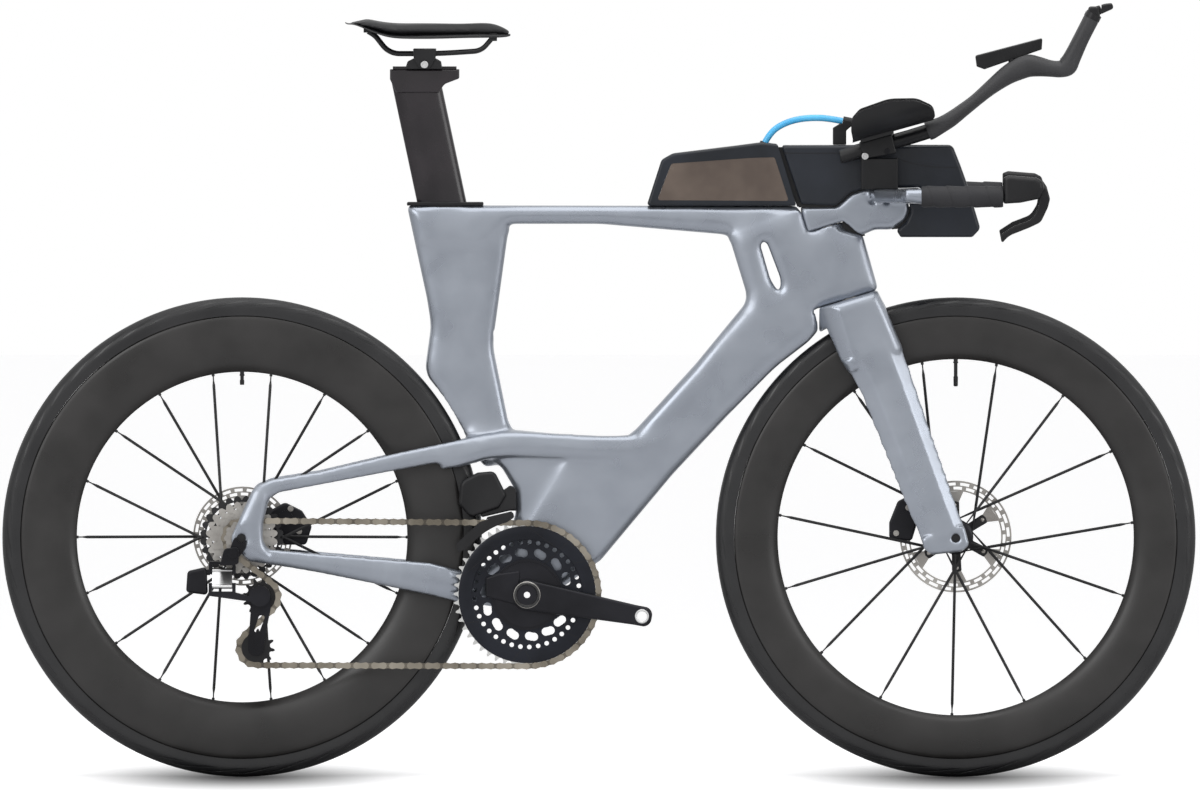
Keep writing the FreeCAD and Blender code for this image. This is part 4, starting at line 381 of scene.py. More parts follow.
# rubber with faint slanted marks on both shoulders, laid out round each axle
def makeTyreRubber(name, axle):
    material = grainMaterial(name, (0.005, 0.005, 0.006), (0.012, 0.012, 0.013), 0.48, grain=700,
                             bump=0.2, depth=0.0003, specular=0.45)
    tree = material.node_tree
    shader = tree.nodes["Principled BSDF"]
    place = tree.nodes.new("ShaderNodeTexCoord")
    split = tree.nodes.new("ShaderNodeSeparateXYZ")
    tree.links.new(place.outputs["Object"], split.inputs[0])

    def maths(operation, first, second=0.0):
        node = tree.nodes.new("ShaderNodeMath")
        node.operation = operation
        for socket, value in zip(node.inputs, (first, second)):
            if isinstance(value, (int, float)):
                socket.default_value = value
            else:
                tree.links.new(value, socket)
        return node.outputs[0]
    x = maths("SUBTRACT", split.outputs["X"], axle[0] / 1000)
    z = maths("SUBTRACT", split.outputs["Z"], axle[1] / 1000)
    radius = maths("SQRT", maths("ADD", maths("MULTIPLY", x, x), maths("MULTIPLY", z, z)))
    turn = maths("ARCTAN2", z, x)
    slant = maths("ADD", maths("MULTIPLY", turn, 46.0), maths("MULTIPLY", radius, 900.0))
    wave = maths("GREATER_THAN", maths("SINE", slant), 0.35)
    low = maths("GREATER_THAN", radius, 0.3262)
    high = maths("LESS_THAN", radius, 0.3342)
    mark = maths("MULTIPLY", wave, maths("MULTIPLY", low, high))
    rough = shader.inputs["Roughness"].links[0].from_socket
    tree.links.new(maths("SUBTRACT", rough, maths("MULTIPLY", mark, 0.22)),
                   shader.inputs["Roughness"])
    bump = [node for node in tree.nodes if node.type == "BUMP"][0]
    groove = tree.nodes.new("ShaderNodeBump")
    groove.inputs["Strength"].default_value = 0.6
    groove.inputs["Distance"].default_value = 0.0006
    groove.invert = True
    tree.links.new(mark, groove.inputs["Height"])
    tree.links.new(bump.outputs["Normal"], groove.inputs["Normal"])
    tree.links.new(groove.outputs["Normal"], shader.inputs["Normal"])
    return material


tyreRubber = {"front": makeTyreRubber("tyreFront", frontAxle),
              "rear": makeTyreRubber("tyreRear", rearAxle)}


# dark anodised ring whose teeth, past the given radius, are bare metal
def makeToothMetal(name, centre, edge):
    material = grainMaterial(name, (0.006, 0.007, 0.011), (0.012, 0.014, 0.021), 0.32,
                             metallic=0.6, grain=2200, bump=0.05)
    tree = material.node_tree
    shader = tree.nodes["Principled BSDF"]
    place = tree.nodes.new("ShaderNodeTexCoord")
    shift = tree.nodes.new("ShaderNodeMapping")
    shift.inputs["Location"].default_value = (-centre[0] / 1000, 0, -centre[1] / 1000)
    shift.inputs["Scale"].default_value = (1, 0, 1)
    tree.links.new(place.outputs["Object"], shift.inputs["Vector"])
    reach = tree.nodes.new("ShaderNodeVectorMath")
    reach.operation = "LENGTH"
    tree.links.new(shift.outputs["Vector"], reach.inputs[0])
    beyond = tree.nodes.new("ShaderNodeMath")
    beyond.operation = "GREATER_THAN"
    beyond.inputs[1].default_value = edge / 1000
    tree.links.new(reach.outputs["Value"], beyond.inputs[0])
    mix = tree.nodes.new("ShaderNodeMix")
    mix.data_type = "RGBA"
    tree.links.new(beyond.outputs[0], mix.inputs["Factor"])
    tree.links.new(shader.inputs["Base Color"].links[0].from_socket, mix.inputs[6])
    mix.inputs[7].default_value = (0.55, 0.55, 0.54, 1)
    tree.links.new(mix.outputs[2], shader.inputs["Base Color"])
    return material


toothMetal = makeToothMetal("toothMetal", bracket, 96.9)

nodeMaterials = {
    "frame": framePaint, "fork": framePaint, "base_bar": framePaint, "seat_post": postPaint,
    "front_rim": rimCarbon, "rear_rim": rimCarbon, "front_tyre": tyreRubber["front"],
    "rear_tyre": tyreRubber["rear"], "front_spokes": spokeBlack, "rear_spokes": spokeBlack,
    "storage_box": boxNavy, "nose_box": boxNavy, "nose_lid": boxNavy,
    "storage_windows": windowSmoke, "arm_pads": padFoam, "bar_tape": barTape,
    "saddle_padding": saddleCover, "chain": chainSteel, "cassette": cogSteel, "front_rotor": steel,
    "rear_rotor": steel, "front_pad_inner": steel, "front_pad_outer": steel,
    "rear_pad_inner": steel, "rear_pad_outer": steel, "frame_bearings": steel,
    "rear_mech_cage": anodizedBlack, "rear_mech_knuckle": anodizedBlack,
    "rear_mech_outer_link": silverAlloy, "rear_mech_inner_link": anodizedBlack,
    "rear_mech_base": anodizedBlack, "crank_arm_right": anodizedBlack,
    "crank_arm_left": anodizedBlack, "chainrings": toothMetal, "front_hub": anodizedBlack,
    "rear_hub": anodizedBlack, "front_caliper": anodizedBlack, "rear_caliper": anodizedBlack,
    "drink_hose": hoseBlue,
}
for name, node in nodes.items():
    dress(node, nodeMaterials.get(name, satinBlack))
print("materials on", len(nodes), "nodes")


hoseSettings = {
    "radius": 0.0046,
    "points": [(-88, 117, 0), (-81, 130, 1), (-66, 142, 3), (-44, 150, 5), (-18, 152.5, 6),
               (4, 151, 6), (22, 147.5, 6)],
}


def makeHose():
    deselect()
    bpy.ops.curve.primitive_nurbs_path_add()
    hose = bpy.context.object
    hose.name = "drinkHose"
    hose.data.splines.clear()
    spline = hose.data.splines.new("NURBS")
    points = hoseSettings["points"]
    spline.points.add(len(points) - 1)
    for spot, (x, z, y) in zip(spline.points, points):
        spot.co = (*mm(head[0] + x, y, head[1] + z), 1)
    spline.order_u = 3
    spline.use_endpoint_u = True
    spline.resolution_u = 10
    hose.location = (0, 0, 0)
    bpy.context.view_layer.update()
    line = bpy.data.meshes.new_from_object(hose)
    hose.data.bevel_depth = hoseSettings["radius"]
    hose.data.bevel_resolution = 6
    hose.data.use_fill_caps = True
    activate(hose)
    bpy.ops.object.convert(target="MESH")
    fixNormals(hose)
    smoothShade(hose, 60)
    dress(hose, hoseBlue)
    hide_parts("drink_hose")
    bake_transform(hose)
    return hose


hose = makeHose()
print("hose made")


# wheels
wheelSettings = {
    "front": {"body": "front_wheel", "axle": frontAxle, "depth": 62, "count": 15, "start": -91.2,
              "offset": 22, "near": -26, "far": 22, "shell": 15, "disc": 35, "rotor": 79,
              "carrier": 45},
    "rear": {"body": "rear_wheel", "axle": rearAxle, "depth": 80, "count": 18, "start": 0,
             "offset": 26, "near": 34, "far": -19, "shell": 16, "disc": 56, "rotor": 70,
             "carrier": 39},
}
rimSettings = {"radius": 313, "half": 13.4, "bed": 311, "steps": 180}
tyreSettings = {"radius": 338.8, "half": 13.9, "wall": 2.4, "steps": 180}


def makeRim(name, wheel):
    outer, half, depth = rimSettings["radius"], rimSettings["half"], wheel["depth"]
    side = [(outer, half - 2.0), (outer - 0.8, half - 1.0), (outer - 2.5, half - 0.3),
            (outer - 6, half)]
    for k in range(1, 13):
        share = k / 12
        radius = outer - 6 - (depth - 6.4) * share
        bulge = max(share - 0.22, 0) / 0.78
        side.append((radius, half * max(1 - bulge ** 2.3, 0) ** 0.5 + (0.2 if share < 1 else 0)))
    side[-1] = (outer - depth + 0.4, 1.6)
    profile = side + [(r, -y) for r, y in reversed(side)]
    profile += [(rimSettings["bed"], -half + 3.4), (rimSettings["bed"], half - 3.4)]
    rim = spinPiece(name + "RimShell", profile, wheel["axle"], rimCarbon, wheel["body"],
                    rimSettings["steps"], 30)
    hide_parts(name + "_rim")
    return rim


def makeTyre(name, wheel):
    half, radius = tyreSettings["half"], tyreSettings["radius"]
    centre = radius - half
    side = [(centre + half * math.cos(math.radians(7.5 * k)), half * math.sin(math.radians(7.5 * k)))
            for k in range(1, 13)]
    side += [(centre - 4, half - 0.2), (centre - 7.5, half - 0.5),
             (rimSettings["radius"] - 0.2, half - 0.75), (rimSettings["radius"] - 1.4, half - 0.45),
             (rimSettings["radius"] - 1.8, half - 0.8), (rimSettings["radius"] - 0.8, half - 4.5),
             (centre - 5, half - 3)]
    inner = half - tyreSettings["wall"]
    side += [(centre + inner * math.cos(math.radians(15 * k)), inner * math.sin(math.radians(15 * k)))
             for k in range(6, 0, -1)]
    profile = [(r, y) for r, y in side] + [(centre + inner, 0)]
    profile += [(r, -y) for r, y in reversed(side)] + [(centre + half, 0)]
    profile = [(max(r, rimSettings["radius"] + 0.15), y) for r, y in profile]
    tyre = spinPiece(name + "TyreCasing", profile, wheel["axle"], tyreRubber[name], wheel["body"],
                     tyreSettings["steps"], 60)
    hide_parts(name + "_tyre")
    return tyre


spokeSettings = {"width": 4.1, "thickness": 1.15, "round": 0.95, "blend": 0.14, "nipple": 2.1,
                 "nippleLength": 7}


def makeBlade(length):
    sections = []
    width, thick = spokeSettings["width"] / 2, spokeSettings["thickness"] / 2
    thin, nipple = spokeSettings["round"], spokeSettings["nipple"]
    cut = length - spokeSettings["nippleLength"]
    for along, across, up in ((0, thin, thin), (12, thin, thin),
                              (12 + spokeSettings["blend"] * length, thick, width),
                              (cut - 14, thick, width), (cut - 6, thin, thin), (cut, thin, thin),
                              (cut + 0.3, nipple, nipple), (length, nipple, nipple)):
        ring = []
        for k in range(8):
            turn = 2 * math.pi * k / 8
            ring.append(mm(along, across * math.cos(turn), up * math.sin(turn)))
        sections.append(ring)
    return sections


def makeSpokes(name, wheel):
    step = 360.0 / wheel["count"]
    nose = rimSettings["radius"] - wheel["depth"] + 4
    axle = wheel["axle"]
    blades, first = [], None
    for i in range(wheel["count"]):
        angle = math.radians(wheel["start"] + i * step)
        side = (0, -1, 1)[i % 3]
        flange = wheel["near"] if side == 0 else wheel["far"]
        reach = wheel["offset"] if side else 20
        turn = angle + side * math.radians(85 if reach < 25 else 80) if side else angle
        foot = mm(axle[0] + reach * math.cos(turn), flange, axle[1] + reach * math.sin(turn))
        tip = mm(axle[0] + nose * math.cos(angle), 0, axle[1] + nose * math.sin(angle))
        run = tip - foot
        if first is None:
            first = loftPiece(name + "Blades", makeBlade(250), spokeBlack, wheel["body"], 60)
        blade = copyPiece(first, name + "Blade%d" % i)
        along = run.normalized()
        across = along.cross(Vector((-math.sin(angle), 0, math.cos(angle)))).normalized()
        upward = across.cross(along) * -1
        turned = Matrix((along, across, upward)).transposed().to_4x4()
        stretch = Matrix.Scale(run.length / 0.25, 4, (1, 0, 0))
        blade.data.transform(Matrix.Translation(foot) @ turned @ stretch)
        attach(blade, wheel["body"])
        blades.append(blade)
    bpy.data.objects.remove(first)
    spokes = joinPieces(blades, name + "Blades")
    fixNormals(spokes)
    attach(spokes, wheel["body"])
    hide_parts(name + "_spokes")
    return spokes


def makeHub(name, wheel):
    near, far, shell, disc = wheel["near"], wheel["far"], wheel["shell"], wheel["disc"]
    sign = 1 if far > near else -1
    reach = wheel["offset"] + 3
    low, high = sorted((near, far))
    lowReach, highReach = (23, reach) if near < far else (reach, 23)
    profile = [(10.2, low - 1.9), (lowReach - 1.5, low - 1.9), (lowReach, low - 1.1),
               (lowReach, low + 1.1), (lowReach - 1.5, low + 1.9), (shell + 2.5, low + 3.4),
               (shell, low + 8), (shell - 0.6, (low + high) / 2), (shell, high - 8),
               (shell + 2.5, high - 3.4), (highReach - 1.5, high - 1.9), (highReach, high - 1.1),
               (highReach, high + 1.1), (highReach - 1.5, high + 1.9), (13, high + 2.2),
               (13, disc - 4), (16.9, disc - 3.9), (16.9, disc + 3.9), (15.5, disc + 4.2),
               (13, disc + 4.4), (13, disc + 6), (10.2, disc + 6)]
    hub = spinPiece(name + "HubShell", profile, wheel["axle"], anodizedBlack, wheel["body"], 64, 30)
    faces = spinPiece(name + "HubBearings", [(6.1, low - 1.6), (10, low - 1.6), (10, disc + 5.4),
                                             (6.1, disc + 5.4)],
                      wheel["axle"], steel, wheel["body"], 48, 30)
    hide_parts(name + "_hub")
    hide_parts(name + "_hub")
    return hub


# flat ring whose rows of faces are cut into slots before it gets its thickness
def slottedRing(name, centre, radii, segments, slots, low, high, material, body):
    ring = startCircle(name, segments)
    bpy.ops.object.mode_set(mode="EDIT")
    bpy.ops.mesh.select_all(action="SELECT")
    for _ in radii[1:]:
        bpy.ops.mesh.extrude_region_move(TRANSFORM_OT_translate={"value": (0, 0, 0.01)})
    bpy.ops.object.mode_set(mode="OBJECT")
    for row, radius in enumerate(radii):
        for k in range(segments):
            spot = around(centre, radius, 360 * k / segments)
            ring.data.vertices[row * segments + k].co = mm(spot[0], low, spot[1])

    def isSlot(face):
        middle = face.center * 1000
        reach = math.hypot(middle.x - centre[0], middle.z - centre[1])
        turn = math.atan2(middle.z - centre[1], middle.x - centre[0]) % (2 * math.pi)
        segment = int(turn / (2 * math.pi) * segments)
        row = sum(1 for r in radii[1:-1] if (reach > r) == (radii[-1] > radii[0]))
        return slots(row, segment)
    pickFaces(ring, isSlot)
    bpy.ops.mesh.delete(type="FACE")
    bpy.ops.mesh.select_all(action="SELECT")
    bpy.ops.mesh.extrude_region_move(TRANSFORM_OT_translate={"value": (0, (high - low) / 1000, 0)})
    bpy.ops.object.mode_set(mode="OBJECT")
    fixNormals(ring)
    dress(ring, material)
    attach(ring, body)
    return ring


def makeRotor(name, wheel):
    outer, disc, axle, carrier = wheel["rotor"], wheel["disc"], wheel["axle"], wheel["carrier"]
    band = slottedRing(name + "RotorBand", axle,
                       [outer, outer - 2.6, outer - 6.6, outer - 8.4, outer - 12.4, outer - 14.6],
                       144, lambda row, k: (row == 1 and k % 6 < 4) or (row == 3 and (k + 3) % 6 < 4),
                       disc - 0.9, disc + 0.9, steel, wheel["body"])
    pieces = [band]
    for i in range(6):
        spots = [around(axle, outer - 13.5, 60 * i + 20), around(axle, outer - 13.5, 60 * i + 44),
                 around(axle, carrier + 1, 60 * i + 38), around(axle, carrier + 1, 60 * i + 26)]
        pieces.append(outlinePlate(name + "RotorLink%d" % i, [s + (1.0,) for s in spots],
                                   disc - 0.8, disc + 0.8, steel, wheel["body"]))
    rotor = joinPieces(pieces, name + "RotorBand")
    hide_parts(name + "_rotor")
    spots = []
    for i in range(6):
        for reach, turn in ((26, -14), (carrier + 4, -8), (carrier + 5.5, 0), (carrier + 4, 8),
                            (26, 14), (22, 30)):
            spots.append(around(axle, reach, 60 * i + 32 + turn) + (2,))
    star = outlinePlate(name + "RotorStar", spots, disc - 1.45, disc + 1.45, satinBlack,
                        wheel["body"], 0.4, 2)
    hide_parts(name + "_rotor")
    rivets = []
    for i in range(6):
        spot = around(axle, carrier - 0.5, 60 * i + 32)
        rivets.append(spinPiece(name + "RotorRivet%d" % i,
                                [(0, disc - 2.1), (2.0, disc - 2.1), (2.7, disc - 1.7),
                                 (2.7, disc + 1.7), (2.0, disc + 2.1), (0, disc + 2.1)],
                                spot, steel, wheel["body"], 16))
    rivet = joinPieces(rivets, name + "RotorRivets")
    lockring = spinPiece(name + "RotorLockring",
                         [(10.4, disc - 5.2), (18, disc - 5.2), (19.5, disc - 4.2),
                          (19.5, disc - 1.5), (24.5, disc - 1.4), (24.5, disc + 1.4),
                          (10.4, disc + 1.4)], axle, anodizedBlack, wheel["body"], 48)
    return rotor


def makeValve(name, wheel, reach):
    axle = wheel["axle"]
    nose = rimSettings["radius"] - wheel["depth"]
    sections = []
    for along, radius in ((nose + 3, 3.0), (nose - 3, 3.0), (nose - 3.2, 3.7), (nose - 5, 3.7),
                          (nose - 5.2, 2.6), (nose - reach * 0.62, 2.6),
                          (nose - reach * 0.64, 3.3), (nose - reach * 0.97, 3.1),
                          (nose - reach, 2.2)):
        ring = []
        for k in range(16):
            turn = 2 * math.pi * k / 16
            ring.append(mm(axle[0] + radius * math.cos(turn), radius * math.sin(turn),
                           axle[1] + along))
        sections.append(ring)
    return loftPiece(name + "Valve", sections, satinBlack, wheel["body"], 40)


for name, wheel in wheelSettings.items():
    makeRim(name, wheel)
    makeTyre(name, wheel)
    makeSpokes(name, wheel)
    makeHub(name, wheel)
    makeRotor(name, wheel)
    makeValve(name, wheel, 18 if name == "rear" else 38)
print("wheels made")


# cassette, rings and cranks
cassetteSettings = {"teeth": [10, 11, 12, 13, 14, 15, 16, 17, 19, 21, 24, 28], "pitch": 12.7,
                    "first": -65.5, "spacing": 3.5, "thickness": 1.6}


def pitchRadius(teeth):
    return cassetteSettings["pitch"] / (2 * math.sin(math.pi / teeth))


def makeCog(index, teeth):
    reach = pitchRadius(teeth)
    y = cassetteSettings["first"] + cassetteSettings["spacing"] * index
    count = teeth * 4
    thick = cassetteSettings["thickness"] / 2
    inner = 15.2 if index < 6 else reach - 15
    radii = [reach + 1.5, reach - 4.6, reach - 6.2, reach - 9.4, max(inner, 15.2)]
    if index < 3:
        radii = [reach + 1.5, reach - 4.2, 15.4] if reach > 22 else [reach + 1.5, 15.2]
    cog = slottedRing("cog%d" % teeth, rearAxle, radii, count,
                      lambda row, k: len(radii) == 5 and row == 2 and k % 8 < 5,
                      y - thick, y + thick, blackCog if index == 11 else steel, "cogs")
    for vertex in cog.data.vertices:
        spot = vertex.co * 1000
        dx, dz = spot.x - rearAxle[0], spot.z - rearAxle[1]
        radius = math.hypot(dx, dz)
        if radius < reach + 1:
            continue
        k = round((math.atan2(dz, dx) % (2 * math.pi)) / (2 * math.pi) * count) % 4
        wanted = (reach - 3.9, reach + 1.0, reach + 2.5, reach + 1.0)[k]
        vertex.co = mm(rearAxle[0] + dx * wanted / radius, spot.y, rearAxle[1] + dz * wanted / radius)
    smoothShade(cog, 30)
    return cog


def makeCassette():
    cogs = [makeCog(i, teeth) for i, teeth in enumerate(cassetteSettings["teeth"])]
    largest = cogs.pop()
    cassette = joinPieces(cogs, "cassetteCogs")
    body = spinPiece("cassetteBody", [(6.1, -68), (14.8, -68), (15.1, -67.6), (15.1, -24.5),
                                      (6.1, -24.5)], rearAxle, anodizedBlack, "cogs", 48)
    lockring = spinPiece("cassetteLockring", [(12, -68.8), (14.2, -68.8), (15, -68.2), (15, -67),
                                              (12, -67)], rearAxle, steel, "cogs", 48)
    for piece in (cassette, largest, body, lockring):
        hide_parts("cassette")


blackCog = grainMaterial("blackCog", (0.012, 0.012, 0.013), (0.024, 0.024, 0.026), 0.4,
                         metallic=0.5, grain=2000, bump=0.05)
makeCassette()
print("cassette made")


# frame, fork and bar as smooth moulded shells over the CAD shapes
shellSettings = {
    "frame": {"body": "frame", "voxel": 0.0027, "rounds": 7, "sideways": 60, "swell": 0.0009},
    "fork": {"body": "steering", "voxel": 0.0014, "rounds": 9, "sideways": 30, "swell": 0.0004},
    "base_bar": {"body": "steering", "voxel": 0.0017, "rounds": 14, "sideways": 20,
                 "swell": 0.0005},
}
# places where two tubes meet: x, z, reach and how many more sideways rounds
joints = [(60, 430, 80, 120), (-215, 790, 60, 120), (200, 690, 80, 160), (180, 790, 60, 120),
          (-170, 262, 60, 200), (-190, 505, 50, 120)]
# beam from the stays along the lower panel into the down tube
beam = {"stations": [(-225, 447, 32.2, 11, 6.4), (-200, 453, 30.0, 14, 7.2),
                     (-180, 459.5, 27.4, 15.5, 7.6), (-160, 466, 25.4, 16.5, 7.8),
                     (-140, 469.5, 24.0, 17.2, 7.8), (-120, 470.5, 23.0, 17.4, 7.8),
                     (-80, 469, 22.2, 17, 7.8), (-30, 466.5, 22.0, 16.5, 7.6),
                     (20, 464.5, 21.6, 16.5, 7.4), (60, 468, 20.6, 18, 7.2),
                     (95, 482, 19.2, 18, 7), (122, 502, 17.6, 15, 6)],
        "edge": [(-230, 436), (-190, 445.5), (-160, 450), (-122, 453.5), (-54, 450.5), (28, 447)]}


def edgeDistance(x, z):
    away = []
    for (x0, z0), (x1, z1) in zip(beam["edge"], beam["edge"][1:]):
        run = Vector((x1 - x0, z1 - z0))
        spot = Vector((x - x0, z - z0))
        share = min(max(spot.dot(run) / run.length_squared, 0), 1)
        away.append((spot - run * share).length)
    return min(away)


def weightGroup(piece, name, weight):
    group = piece.vertex_groups.new(name=name)
    for vertex in piece.data.vertices:
        value = weight(vertex.co.x * 1000, vertex.co.z * 1000)
        if value > 0:
            group.add([vertex.index], value, "REPLACE")


def blendSideways(piece, rounds):
    applyModifier(piece, "SMOOTH", factor=0.5, iterations=rounds, use_x=False, use_z=False)


def blendJoints(piece, rounds):
    weightGroup(piece, "soft", lambda x, z: min(0.05 + (edgeDistance(x, z) / 22) ** 2, 1))
    applyModifier(piece, "SMOOTH", factor=0.5, iterations=rounds, use_x=False, use_z=False,
                  vertex_group="soft")
    piece.vertex_groups.clear()
    for x, z, reach, more in joints:
        weightGroup(piece, "joint", lambda px, pz: max(
            1 - (math.hypot(px - x, pz - z) / reach) ** 2, 0) ** 2)
        applyModifier(piece, "SMOOTH", factor=0.5, iterations=more, use_x=False, use_z=False,
                      vertex_group="joint")
        piece.vertex_groups.clear()


# the bare bar end narrows into the tape on each side
def taperBar(piece):
    for vertex in piece.data.vertices:
        x, y, z = [c * 1000 for c in vertex.co]
        if abs(y) > 176 and x > 420:
            share = min(max((x - 424) / 32, 0), 1)
            weight = min((abs(y) - 176) / 8, 1) * min((x - 420) / 8, 1)
            centre = 825.6 - 2.2 * share
            narrow = 0.56 + 0.2 * share
            vertex.co.z += weight * (centre + (z - 823.1) * narrow - z) / 1000
            side = math.copysign(195, y)
            vertex.co.y += weight * (side + (y - side) * 0.8 - y) / 1000


def beamPieces():
    pieces = []
    for side in (-1, 1):
        stations = fillStations([(x, z, side * y, high, wide)
                                 for x, z, y, high, wide in beam["stations"]], 3)
        pieces.append(loftPiece("beam", pathSections(stations, 28, 2.4), framePaint, "frame"))
    return pieces


def nodeCopy(node, name):
    mesh = nodes[node].data.copy()
    mesh.name = name
    piece = bpy.data.objects.new(name, mesh)
    bpy.context.scene.collection.objects.link(piece)
    fixNormals(piece)
    return piece


def makeShell(node, shell):
    piece = nodeCopy(node, node.replace("_", "") + "Shell")
    if node == "frame":
        piece = joinPieces([piece] + beamPieces(), "frameShell")
    applyModifier(piece, "REMESH", mode="VOXEL", voxel_size=shell["voxel"])
    applyModifier(piece, "SMOOTH", factor=0.5, iterations=shell["rounds"])
    if node == "frame":
        blendJoints(piece, shell["sideways"])
    else:
        blendSideways(piece, shell["sideways"])
    applyModifier(piece, "DISPLACE", strength=shell["swell"], mid_level=0)
    if node == "base_bar":
        taperBar(piece)
    smoothShade(piece, 65)
    dress(piece, framePaint)
    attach(piece, shell["body"])
    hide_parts(node)
    print(node, "shell", len(piece.data.polygons), "faces")
    return piece


for node, shell in shellSettings.items():
    makeShell(node, shell)


# padded pieces, filled by a short cloth run and capped near their own shape
padSettings = {
    "saddle_padding": {"body": "saddle", "voxel": 0.0034, "pressure": 4.0, "frames": 14,
                       "cap": 0.0022, "fill": 0.85, "rounds": 5},
    "arm_pads": {"body": "steering", "voxel": 0.0028, "pressure": 4.0, "frames": 12,
                 "cap": 0.0018, "fill": 0.8, "rounds": 14},
}


def fillPad(piece, pad):
    before = [vertex.co.copy() for vertex in piece.data.vertices]
    activate(piece)
    cloth = piece.modifiers.new("Cloth", "CLOTH")
    cloth.settings.quality = 5
    cloth.settings.mass = 0.2
    cloth.settings.use_pressure = True
    cloth.settings.uniform_pressure_force = pad["pressure"]
    cloth.settings.effector_weights.gravity = 0
    cloth.point_cache.frame_start = 1
    cloth.point_cache.frame_end = pad["frames"]
    for step in range(1, pad["frames"] + 1):
        bpy.context.scene.frame_set(step)
    bpy.ops.object.modifier_apply(modifier=cloth.name)
    bpy.context.scene.frame_set(1)
    for vertex, rest in zip(piece.data.vertices, before):
        move = vertex.co - rest
        if move.length > pad["cap"]:
            vertex.co = rest + move.normalized() * pad["cap"]


def makePad(node, material):
    pad = padSettings[node]
    piece = nodeCopy(node, node.replace("_", "") + "Cover")
    applyModifier(piece, "REMESH", mode="VOXEL", voxel_size=pad["voxel"])
    applyModifier(piece, "SMOOTH", factor=0.5, iterations=pad["rounds"])
    fillPad(piece, pad)
    applyModifier(piece, "SMOOTH", factor=0.5, iterations=3)
    applyModifier(piece, "SUBSURF", levels=1, render_levels=1)
    activate(piece)
    bpy.ops.object.shade_smooth()
    dress(piece, material)
    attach(piece, pad["body"])
    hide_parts(node)
    print(node, "cover", len(piece.data.polygons), "faces")
    return piece


makePad("saddle_padding", saddleCover)
makePad("arm_pads", padFoam)


# moulded extensions: round tube, collar, narrow neck and a fuller grip
extensionSettings = {
    "spacing": 92,
    "stations": [(340.6, 876.9, 7.5, 7.5), (341.6, 877.0, 9.4, 9.4), (344, 877.7, 9.9, 9.9),
                 (392.4, 891.1, 9.9, 9.9), (440, 904.4, 9.9, 9.9), (468, 913.2, 9.9, 9.9)],
    "grip": [(464, 912.6, 12.6, 12.2), (468, 914.2, 13.2, 12.6), (472, 915.8, 12.6, 12.2),
             (484, 921.6, 11.0, 11.4), (497.3, 929.5, 10.3, 11.4), (514, 942, 9.2, 11.2),
             (531.8, 955.9, 8.6, 11), (552, 973, 9.8, 11.2), (575, 990.5, 12.8, 11.6),
             (592, 1000, 15, 11.8), (606, 1004.9, 15.6, 11.8), (622, 1003.6, 13.4, 11.8),
             (638, 1001, 11.2, 11.8), (652, 1000.4, 11.4, 11.8), (661.5, 1005, 13.6, 11.6),
             (668.5, 1017, 12, 11.4), (681, 1043, 10.8, 11.4), (695.4, 1071.2, 10.8, 11.4)],
}


def makeExtensions():
    y = extensionSettings["spacing"] / 2
    tube = [(x, z, -y, high, wide) for x, z, high, wide in extensionSettings["stations"]]
    grip = [(x, z, -y, high, wide) for x, z, high, wide in extensionSettings["grip"]]
    right = loftPiece("extensionTubeRight", pathSections(tube, 28), satinBlack, "steering")
    moulded = loftPiece("extensionGripRight", pathSections(fillStations(grip, 4), 32, 2.3),
                        gripRubber, "steering")
    for piece in (right, moulded, mirrorCopy(right, "extensionTubeLeft", "steering"),
                  mirrorCopy(moulded, "extensionGripLeft", "steering")):
        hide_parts("extensions")


gripRubber = grainMaterial("gripRubber", (0.016, 0.016, 0.018), (0.030, 0.030, 0.033), 0.55,
                           grain=1300, bump=0.35, depth=0.0003)
makeExtensions()


# bar tape wound in overlapping turns
tapeSettings = {"start": 455.4, "end": 570.4, "y": 195, "z": 823.1, "radius": 14.4, "step": 1.25,
                "turn": 27.0, "rings": 92, "count": 48}


def makeTape():
    tape = tapeSettings
    sections = []
    for i in range(tape["rings"] + 1):
        x = tape["start"] + (tape["end"] - tape["start"]) * i / tape["rings"]
        ease = min((x - tape["start"]) / 4, (tape["end"] - x) / 2, 1)
        ring = []
        for k in range(tape["count"]):
            turn = 2 * math.pi * k / tape["count"]
            phase = ((x - tape["start"]) / tape["turn"] - k / tape["count"]) % 1
            lift = tape["step"] * (1 - phase) if phase > 0.06 else tape["step"] * phase / 0.06
            radius = tape["radius"] - 0.3 + (0.3 + lift) * ease
            ring.append(mm(x, -tape["y"] + radius * math.cos(turn),
                           tape["z"] + radius * math.sin(turn)))
        sections.append(ring)
    right = loftPiece("tapeRight", sections, barTape, "steering", 60)
    left = mirrorCopy(right, "tapeLeft", "steering")
    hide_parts("bar_tape")
    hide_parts("bar_tape")


makeTape()


# bolts, caps and small trims
def makeBolt(name, place, face, radius, height, material, body, side=-1):
    profile = [(0, face), (radius, face), (radius, face + side * (height - 0.5)),
               (radius - 0.5, face + side * height), (radius * 0.55, face + side * height),
               (radius * 0.5, face + side * (height - 0.3)), (radius * 0.5, face + side * 0.4),
               (0, face + side * 0.4)]
    return spinPiece(name, profile, place, material, body, 24, 30)


bolts = [
    ("riserBoltRear", (376, 878), -58.8, 4.9, 2.4, silverAlloy, "steering"),
    ("riserBoltFront", (407.5, 885), -58.8, 4.0, 2.0, anodizedBlack, "steering"),
    ("saddleBolt", (-246, 1007), -36.4, 5.3, 1.4, silverAlloy, "cradle"),
    ("frontCaliperBoltUpper", (437, 380), 22.6, 4.2, 2.0, steel, "steering"),
    ("frontCaliperBoltLower", (420, 344), 22.6, 4.2, 2.0, steel, "steering"),
    ("rearCaliperBoltUpper", (-436, 378), 43.6, 4.2, 2.0, steel, "frame"),
    ("rearCaliperBoltLower", (-424, 346), 43.6, 4.2, 2.0, steel, "frame"),
]
for bolt in bolts:
    makeBolt(*bolt)


